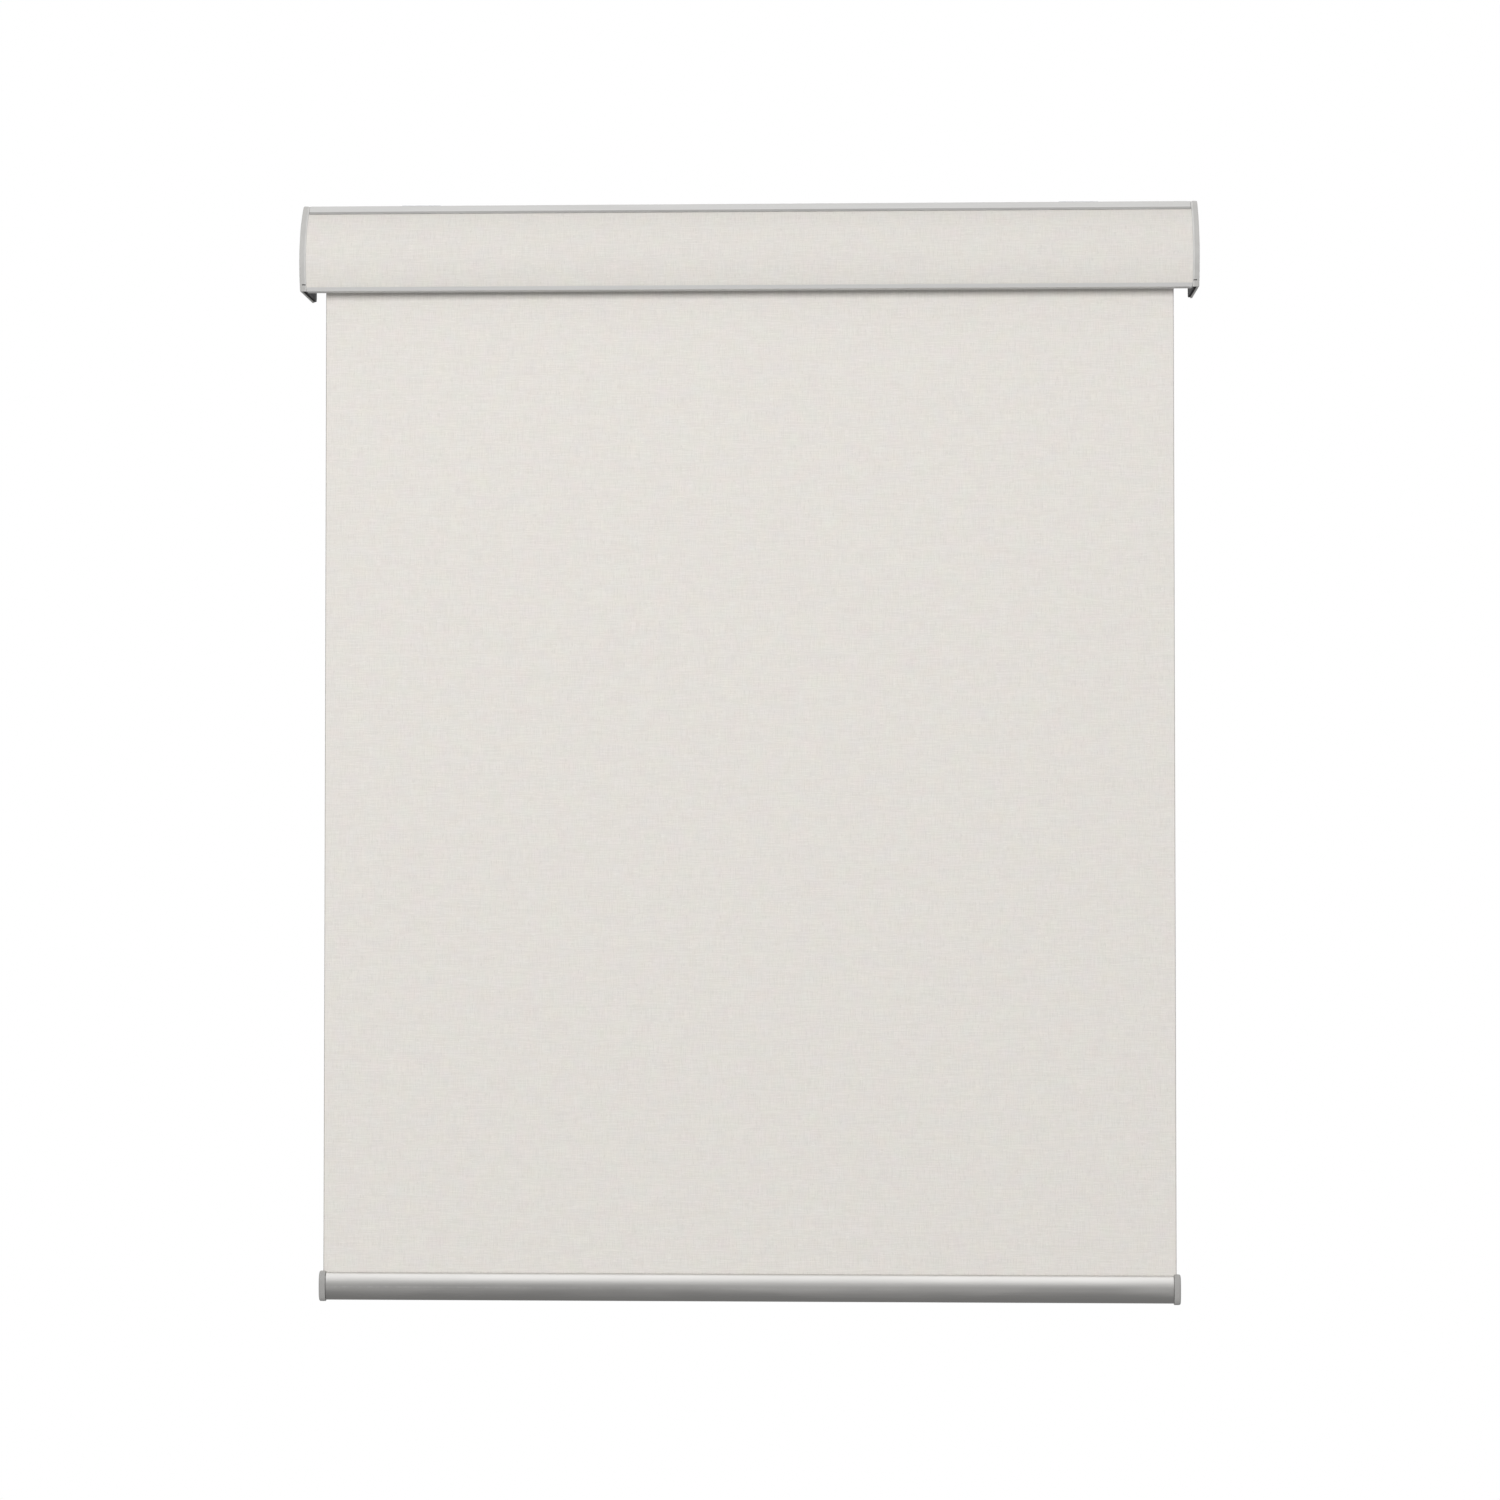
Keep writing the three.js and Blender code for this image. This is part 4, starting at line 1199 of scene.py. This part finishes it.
def screw_holes(middle):
    """Tools for two ceiling holes and two wall holes."""
    for way in (-1, 1):
        x = middle + way * hole_spread
        for turn, place in ((0, (x, -hole_set, 0)), (math.pi / 2, (x, 0, -hole_drop))):
            builder = bmesh.new()
            spin = Matrix.Rotation(turn, 4, "X")
            bmesh.ops.create_cone(builder, cap_ends=True, segments=40, radius1=2.4 * mm, radius2=2.4 * mm,
                                  depth=12 * mm, matrix=Matrix.Translation(place) @ spin)
            yield object_from("hole", builder)


def mounting_clip(hand):
    """The folded sheet, with its hook and its catch, drilled for the screws."""
    low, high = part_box(f"mounting_clip_{hand}")
    middle = (low.x + high.x) / 2
    half = clip_plate / 2
    fold = [(hook_back - hook_sheet - 2 * mm, -half), (-half, -half), (-half, low.z)]
    sheet = bent_sheet(fold, clip_plate, 2.2 * mm)
    clip = extruded(f"clip_{hand}", [soften(sheet, 0.5 * mm)], low.x, high.x, 0.25 * mm)
    toe_top = head_top - 1.6 * mm
    toe = toe_top - hook_sheet / 2
    hook = bent_sheet([(hook_middle, -half), (hook_middle, toe), (hook_back - hook_sheet - 1.6 * mm, toe)],
                      hook_sheet, 1.12 * mm)
    catch = bent_sheet([(-half, catch_top - 0.6 * mm), (catch_front, catch_top - 0.6 * mm),
                        (catch_front, catch_top + 1.4 * mm)], 1.2 * mm, 0.95 * mm)
    tools = [extruded("hook", [hook], middle - 9 * mm, middle + 9 * mm, 0.2 * mm),
             extruded("catch", [catch], middle - 7 * mm, middle + 7 * mm, 0.2 * mm)]
    combine(clip, tools, "UNION")
    return combine(clip, list(screw_holes(middle)), "DIFFERENCE")


for hand in ("left", "right"):
    settle(mounting_clip(hand), zinc, "headbox", "zinc_steel", f"mounting_clip_{hand}")

# %% [markdown]
# ## Tube and key
# The tube is an extrusion too. Outside it has a groove that takes the cloth's stiff edge strip; inside,
# a rib below the groove keys the plugs, so that they turn with the tube.

# %% Tube
tube_bore = tube_radius - 1.2 * mm
groove_half, groove_deep = 1.2 * mm, 1.3 * mm
key_half, key_deep = 2.2 * mm, 1.9 * mm


def tube_ring(radius, half, level):
    """A circle whose top is replaced by a straight-sided groove or rib down to a level."""
    start = math.acos(half / radius)
    points = []
    steps = 96
    for step in range(steps + 1):
        angle = math.pi - start + (2 * math.pi - (math.pi - 2 * start)) * step / steps
        points.append(about_axis(radius, angle))
    return soften(points + [(axis_y + half, axis_z + level), (axis_y - half, axis_z + level)], 0.25 * mm)


tube = extruded("tube", [tube_ring(tube_radius, groove_half, tube_radius - groove_deep),
                         tube_ring(tube_bore, key_half, tube_bore - key_deep)],
                tube_low.x, tube_high.x, 0.12 * mm)
settle(tube, satin, "roller", "satin_aluminium", "roller_tube")
spline_low, spline_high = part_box("tube_spline")
strip_outline = rectangle(spline_low.y, spline_high.y, spline_low.z, spline_high.z)
edge_strip = extruded("cloth_edge_strip", [soften(strip_outline, 0.3 * mm)], spline_low.x, spline_high.x,
                      0.2 * mm)
settle(edge_strip, nylon, "roller", "white_nylon", "tube_spline")

# %% [markdown]
# ## Spring unit
# The left end lifts the cloth. A nylon anchor is held from turning by the bracket, a steel shaft runs
# inwards from it, and a drive plug turns on the shaft with the tube. The long torsion spring joins the
# anchor to the drive plug, so that it winds up as the cloth is pulled down.

# %% Spring end plug
def keyway(x0, x1):
    """A tool for the slot in a plug that the tube's rib enters."""
    half = key_half + gap
    bottom = axis_z + tube_bore - key_deep - gap
    return extruded("keyway", [rectangle(axis_y - half, axis_y + half, bottom, axis_z + tube_bore + 1 * mm)],
                    x0, x1, 0)


def reach_of(node):
    """Where a node starts and ends along X."""
    low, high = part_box(node)
    return low.x, high.x


plug_radius = tube_bore - gap
flange_radius = tube_radius + 1.5 * mm
crown_out, crown_in = reach_of("spring_crown")
shoulder = -(tube_high.x + gap)
hub_radius = 8 * mm
crown_bore = hub_radius + run_gap


def gripped(start, stop, count):
    """Raised grip rings of a plug between two places, as outline points."""
    pitch = (stop - start) / count
    valley = plug_radius - 0.5 * mm
    points = []
    for i in range(count):
        base = start + i * pitch
        points += [(base + 0.15 * pitch, plug_radius), (base + 0.25 * pitch, valley),
                   (base + 0.75 * pitch, valley), (base + 0.85 * pitch, plug_radius)]
    return points


crown_outline = [(crown_in, crown_bore), (crown_out, crown_bore), (crown_out, flange_radius),
                 (shoulder, flange_radius), (shoulder, plug_radius),
                 *gripped(shoulder + 2 * mm, crown_in - 1 * mm, 4), (crown_in, plug_radius)]
crown = turned("spring_end_plug", crown_outline, 0.25 * mm, 96)
combine(crown, [keyway(shoulder + 0.3 * mm, crown_in + 1 * mm)], "DIFFERENCE")
settle(crown, nylon, "roller", "white_nylon", "spring_crown")

# %% Spring anchor and drive plug
anchor_out, hub_in = reach_of("spring_anchor")
flange_out = -(bracket_in - gap)
flange_in = flange_out + 2.6 * mm
hub_flange = 14 * mm
shaft_radius = 4 * mm
shaft_bore = shaft_radius + run_gap
anchor_outline = [(hub_in, shaft_bore), (flange_out, shaft_bore), (flange_out, hub_flange),
                  (flange_in, hub_flange), (flange_in, hub_radius), (hub_in, hub_radius)]
anchor = turned("anchor_hub", anchor_outline, 0.4 * mm, 96)
tongue_outline = rectangle(axis_y - 2 * mm, axis_y + 2 * mm, axis_z - 5.5 * mm, axis_z + 5.5 * mm)
tongue = extruded("tongue", [soften(tongue_outline, 0.4 * mm)], anchor_out, flange_out + 1 * mm,
                  0.2 * mm, 0)
combine(anchor, [tongue], "UNION")
bore_from, bore_to = anchor_out - 1 * mm, hub_in + 1 * mm
bore = turned("bore", [(bore_from, 0), (bore_from, shaft_bore), (bore_to, shaft_bore), (bore_to, 0)], 0, 64)
combine(anchor, [bore], "DIFFERENCE")
settle(anchor, nylon, "headbox", "white_nylon", "spring_anchor")

drive_out, drive_in = reach_of("spring_drive_plug")
drive_outline = [(drive_in, shaft_bore), (drive_out, shaft_bore), (drive_out, plug_radius),
                 *gripped(drive_out + 1 * mm, drive_in - 1 * mm, 4), (drive_in, plug_radius)]
drive = turned("drive_plug", drive_outline, 0.25 * mm, 96)
combine(drive, [keyway(drive_out - 1 * mm, drive_in + 1 * mm)], "DIFFERENCE")
settle(drive, nylon, "roller", "white_nylon", "spring_drive_plug")

# %% Shaft, circlip and lift spring
shaft_out, shaft_in = reach_of("spring_shaft")
clip_low, clip_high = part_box("shaft_circlip")
neck = shaft_radius - 0.8 * mm
neck_out, neck_in = clip_low.x - gap, clip_high.x + gap
shaft_outline = [(shaft_out, 0), (shaft_out, shaft_radius), (neck_out, shaft_radius), (neck_out, neck),
                 (neck_in, neck), (neck_in, shaft_radius), (shaft_in, shaft_radius), (shaft_in, 0)]
shaft = turned("shaft", shaft_outline, 0.4 * mm)
settle(shaft, zinc, "headbox", "zinc_steel", "spring_shaft")


def circlip_outline():
    """An open ring with two ears, as a plier-fitted circlip has."""
    inner, outer = neck + run_gap, (clip_high.y - clip_low.y) / 2
    start, stop = math.radians(-60), math.radians(240)
    turns = [start + (stop - start) * i / 60 for i in range(61)]
    first_ear = [about_axis(outer, t) for t in turns[:5]]
    body = [about_axis(outer * 0.86, t) for t in turns[6:-6]]
    last_ear = [about_axis(outer, t) for t in turns[-5:]]
    inside = [about_axis(inner, t) for t in turns[::-1]]
    return soften(first_ear + body + last_ear + inside, 0.3 * mm)


settle(extruded("circlip", [circlip_outline()], clip_low.x, clip_high.x, 0.05 * mm), zinc, "headbox",
       "zinc_steel", "shaft_circlip")


def coil(x0, x1, mean_radius, wire, turns, steps=18):
    """Points of a coil spring about the roller's axis, at an even pitch."""
    places = []
    count = int(turns * steps)
    for i in range(count + 1):
        share = i / count
        angle = 2 * math.pi * turns * share
        x = x0 + wire + (x1 - x0 - 2 * wire) * share
        places.append(Vector((x, *about_axis(mean_radius, angle))))
    return places


spring_out, spring_in = reach_of("lift_spring")
spring_wire = 0.95 * mm
spring_low, spring_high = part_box("lift_spring")
spring_mean = (spring_high.y - spring_low.y) / 2 - spring_wire
spring_turns = (spring_in - spring_out) / (2.15 * spring_wire)
lift_line = coil(spring_out, spring_in, spring_mean, spring_wire, spring_turns)
lift_coil = swept("torsion_spring", spring_wire, lift_line, 6)
settle(lift_coil, spring_steel, "headbox", "zinc_steel", "lift_spring")
print("lift spring has", round(spring_turns), "turns")

# %% [markdown]
# ## Idle end
# At the right end a steel pin slides in the plug against a small spring. Pushing it in lets the roller be
# lifted out of its bush. The pin and its spring are drawn at their true travel.

# %% Idle plug and its cap
plug_in, idle_out = reach_of("idle_plug")
pin_low, pin_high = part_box("idle_pin")
pin_radius = 3 * mm
pin_bore = pin_radius + run_gap
pocket_radius = 5.5 * mm
pocket_front = idle_out - 5 * mm
idle_shoulder = tube_high.x + gap
idle_outline = [(idle_out, pin_bore), (pocket_front, pin_bore), (pocket_front, pocket_radius),
                (plug_in, pocket_radius), (plug_in, plug_radius),
                *gripped(plug_in + 1 * mm, idle_shoulder - 2 * mm, 5), (idle_shoulder, plug_radius),
                (idle_shoulder, flange_radius), (idle_out, flange_radius)]
idle = turned("idle_end_plug", idle_outline, 0.25 * mm, 96)
combine(idle, [keyway(plug_in - 1 * mm, idle_shoulder - 0.3 * mm)], "DIFFERENCE")
settle(idle, nylon, "roller", "white_nylon", "idle_plug")

cap_in, cap_out = reach_of("idle_plug_cap")
cap_radius = pocket_radius - run_gap
cap = turned("plug_cap", [(cap_in, 0), (cap_in, cap_radius), (cap_out, cap_radius), (cap_out, 0)], 0.4 * mm)
settle(cap, nylon, "roller", "white_nylon", "idle_plug_cap")

# %% Idle pin, its spring and its bush
head_back, head_face = pin_low.x, pocket_front - gap
head_radius = 5.2 * mm
chamfer = 1 * mm
pin_outline = [(head_back, 0), (head_back, head_radius), (head_face, head_radius), (head_face, pin_radius),
               (pin_high.x - chamfer, pin_radius), (pin_high.x, pin_radius - chamfer), (pin_high.x, 0)]
pin = turned("sprung_pin", pin_outline, 0.35 * mm)
settle(pin, zinc, "idle_pin", "zinc_steel", "idle_pin")

coil_in, coil_out = reach_of("pin_spring")
pin_wire = 0.45 * mm
pin_line = coil(coil_in, coil_out, 5.0 * mm - pin_wire, pin_wire, 6.5, 32)
pin_coil = swept("return_spring", pin_wire, pin_line, 10)
settle(pin_coil, spring_steel, "roller", "zinc_steel", "pin_spring")
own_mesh(pin_coil)

bush_in, bush_out = reach_of("idle_bush")
bush_face = bracket_in - gap
bush_flange, bush_radius = 8 * mm, 6 * mm
bush_outline = [(bush_out, pin_bore), (bush_in, pin_bore), (bush_in, bush_flange),
                (bush_face, bush_flange), (bush_face, bush_radius), (bush_out, bush_radius)]
bush = turned("bracket_bush", bush_outline, 0.3 * mm)
settle(bush, nylon, "headbox", "white_nylon", "idle_bush")

# %% [markdown]
# ## Hem bar
# The bar at the bottom weighs the cloth down. It is a rounded hollow extrusion, slotted along its top; a
# divider forms an upper pocket, where a rod in the cloth's hem is trapped behind the slot.

# %% Hem bar
bar_low, bar_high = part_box("hem_bar")
bar_y = (bar_low.y + bar_high.y) / 2
bar_across, bar_tall = (bar_high.y - bar_low.y) / 2, 14 * mm
bar_middle = bar_low.z + bar_tall
bar_top = bar_low.z + 2 * bar_tall
bar_wall = 1.3 * mm
slot_half = 0.8 * mm
squareness = 0.8
divider = bar_top - 9 * mm


def bar_point(angle, offset):
    """A point of the bar's rounded section: a softened ellipse, grown or shrunk by an offset."""
    c, s = math.cos(angle), math.sin(angle)
    y = math.copysign(abs(c) ** squareness, c) * (bar_across + offset)
    z = math.copysign(abs(s) ** squareness, s) * (bar_tall + offset)
    return (bar_y + y, bar_middle + z)


def bar_run(offset, keep, start=math.pi / 2, steps=144):
    """The points of the section that a test keeps, anticlockwise from a start."""
    points = [bar_point(start + 2 * math.pi * i / steps, offset) for i in range(steps)]
    return [p for p in points if keep(p)]


def bar_height(y, offset):
    """Height of the section above its middle at a distance from the bar's own plane."""
    across, tall = bar_across + offset, bar_tall + offset
    return tall * (1 - (abs(y) / across) ** (2 / squareness)) ** (squareness / 2)


def bar_section():
    """The outside with its slot and the pocket behind it, and the closed chamber below."""
    outside = bar_run(0, lambda p: p[1] < bar_middle or abs(p[0] - bar_y) > slot_half + 0.1 * mm)
    mouth_out = bar_middle + bar_height(slot_half, 0)
    mouth_in = bar_middle + bar_height(slot_half, -bar_wall)
    pocket = bar_run(-bar_wall, lambda p: p[1] > divider and abs(p[0] - bar_y) > slot_half + 0.1 * mm)
    left = [p for p in pocket if p[0] < bar_y]
    right = [p for p in pocket if p[0] > bar_y]
    points = [(bar_y - slot_half, mouth_out), *outside, (bar_y + slot_half, mouth_out),
              (bar_y + slot_half, mouth_in), *right[::-1], (right[0][0], divider), (left[-1][0], divider),
              *left[::-1], (bar_y - slot_half, mouth_in)]
    chamber = bar_run(-bar_wall, lambda p: p[1] < divider - bar_wall)
    return [soften(points, 0.25 * mm), soften(chamber, 0.25 * mm)]


hem_profile = extruded("hem_profile", bar_section(), bar_low.x, bar_high.x, 0.15 * mm)
settle(hem_profile, satin, "hem", "satin_aluminium", "hem_bar")

rod_low, rod_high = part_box("hem_spline")
rod_radius = (rod_high.z - rod_low.z) / 2
rod_outline = [(rod_low.x, 0), (rod_low.x, rod_radius), (rod_high.x, rod_radius), (rod_high.x, 0)]
hem_rod = turned("hem_rod", rod_outline, 0.4 * mm, 32, cloth_y, rod_low.z + rod_radius)
settle(hem_rod, nylon, "hem", "white_nylon", "hem_spline")

# %% Hem bar end caps
cap_proud = 1.4 * mm
cap_wide = 6.6 * mm
cap_tongue = 14 * mm


def hem_cap():
    """The right cap: a domed end, a plug in the bar's chamber and a slot for the cloth's corner."""
    inner = bar_high.x + gap
    outer = inner + cap_wide
    whole = extruded("hem_end_right", [bar_run(cap_proud, lambda p: True, 0, 120)], inner, outer,
                     0.35 * mm, 1.8 * mm)
    inside = bar_run(-bar_wall - gap, lambda p: p[1] < divider - bar_wall - gap)
    plug = extruded("plug", [soften(inside, 0.9 * mm)], bar_high.x - cap_tongue, inner + 1 * mm,
                    0.6 * mm, 0)
    combine(whole, [plug], "UNION")
    slit = rectangle(bar_y - slot_half, bar_y + slot_half, cloth_low.z - gap, bar_top + 3 * mm)
    slot = extruded("slot", [slit], inner - 1 * mm, cloth_high.x + gap, 0)
    return combine(whole, [slot], "DIFFERENCE")


right_cap = hem_cap()
left_cap = mirrored(right_cap, "hem_end_left")
for hand, cap_piece in (("left", left_cap), ("right", right_cap)):
    settle(cap_piece, grey_hem_plastic, "hem", "cover_plastic", f"hem_cap_{hand}")
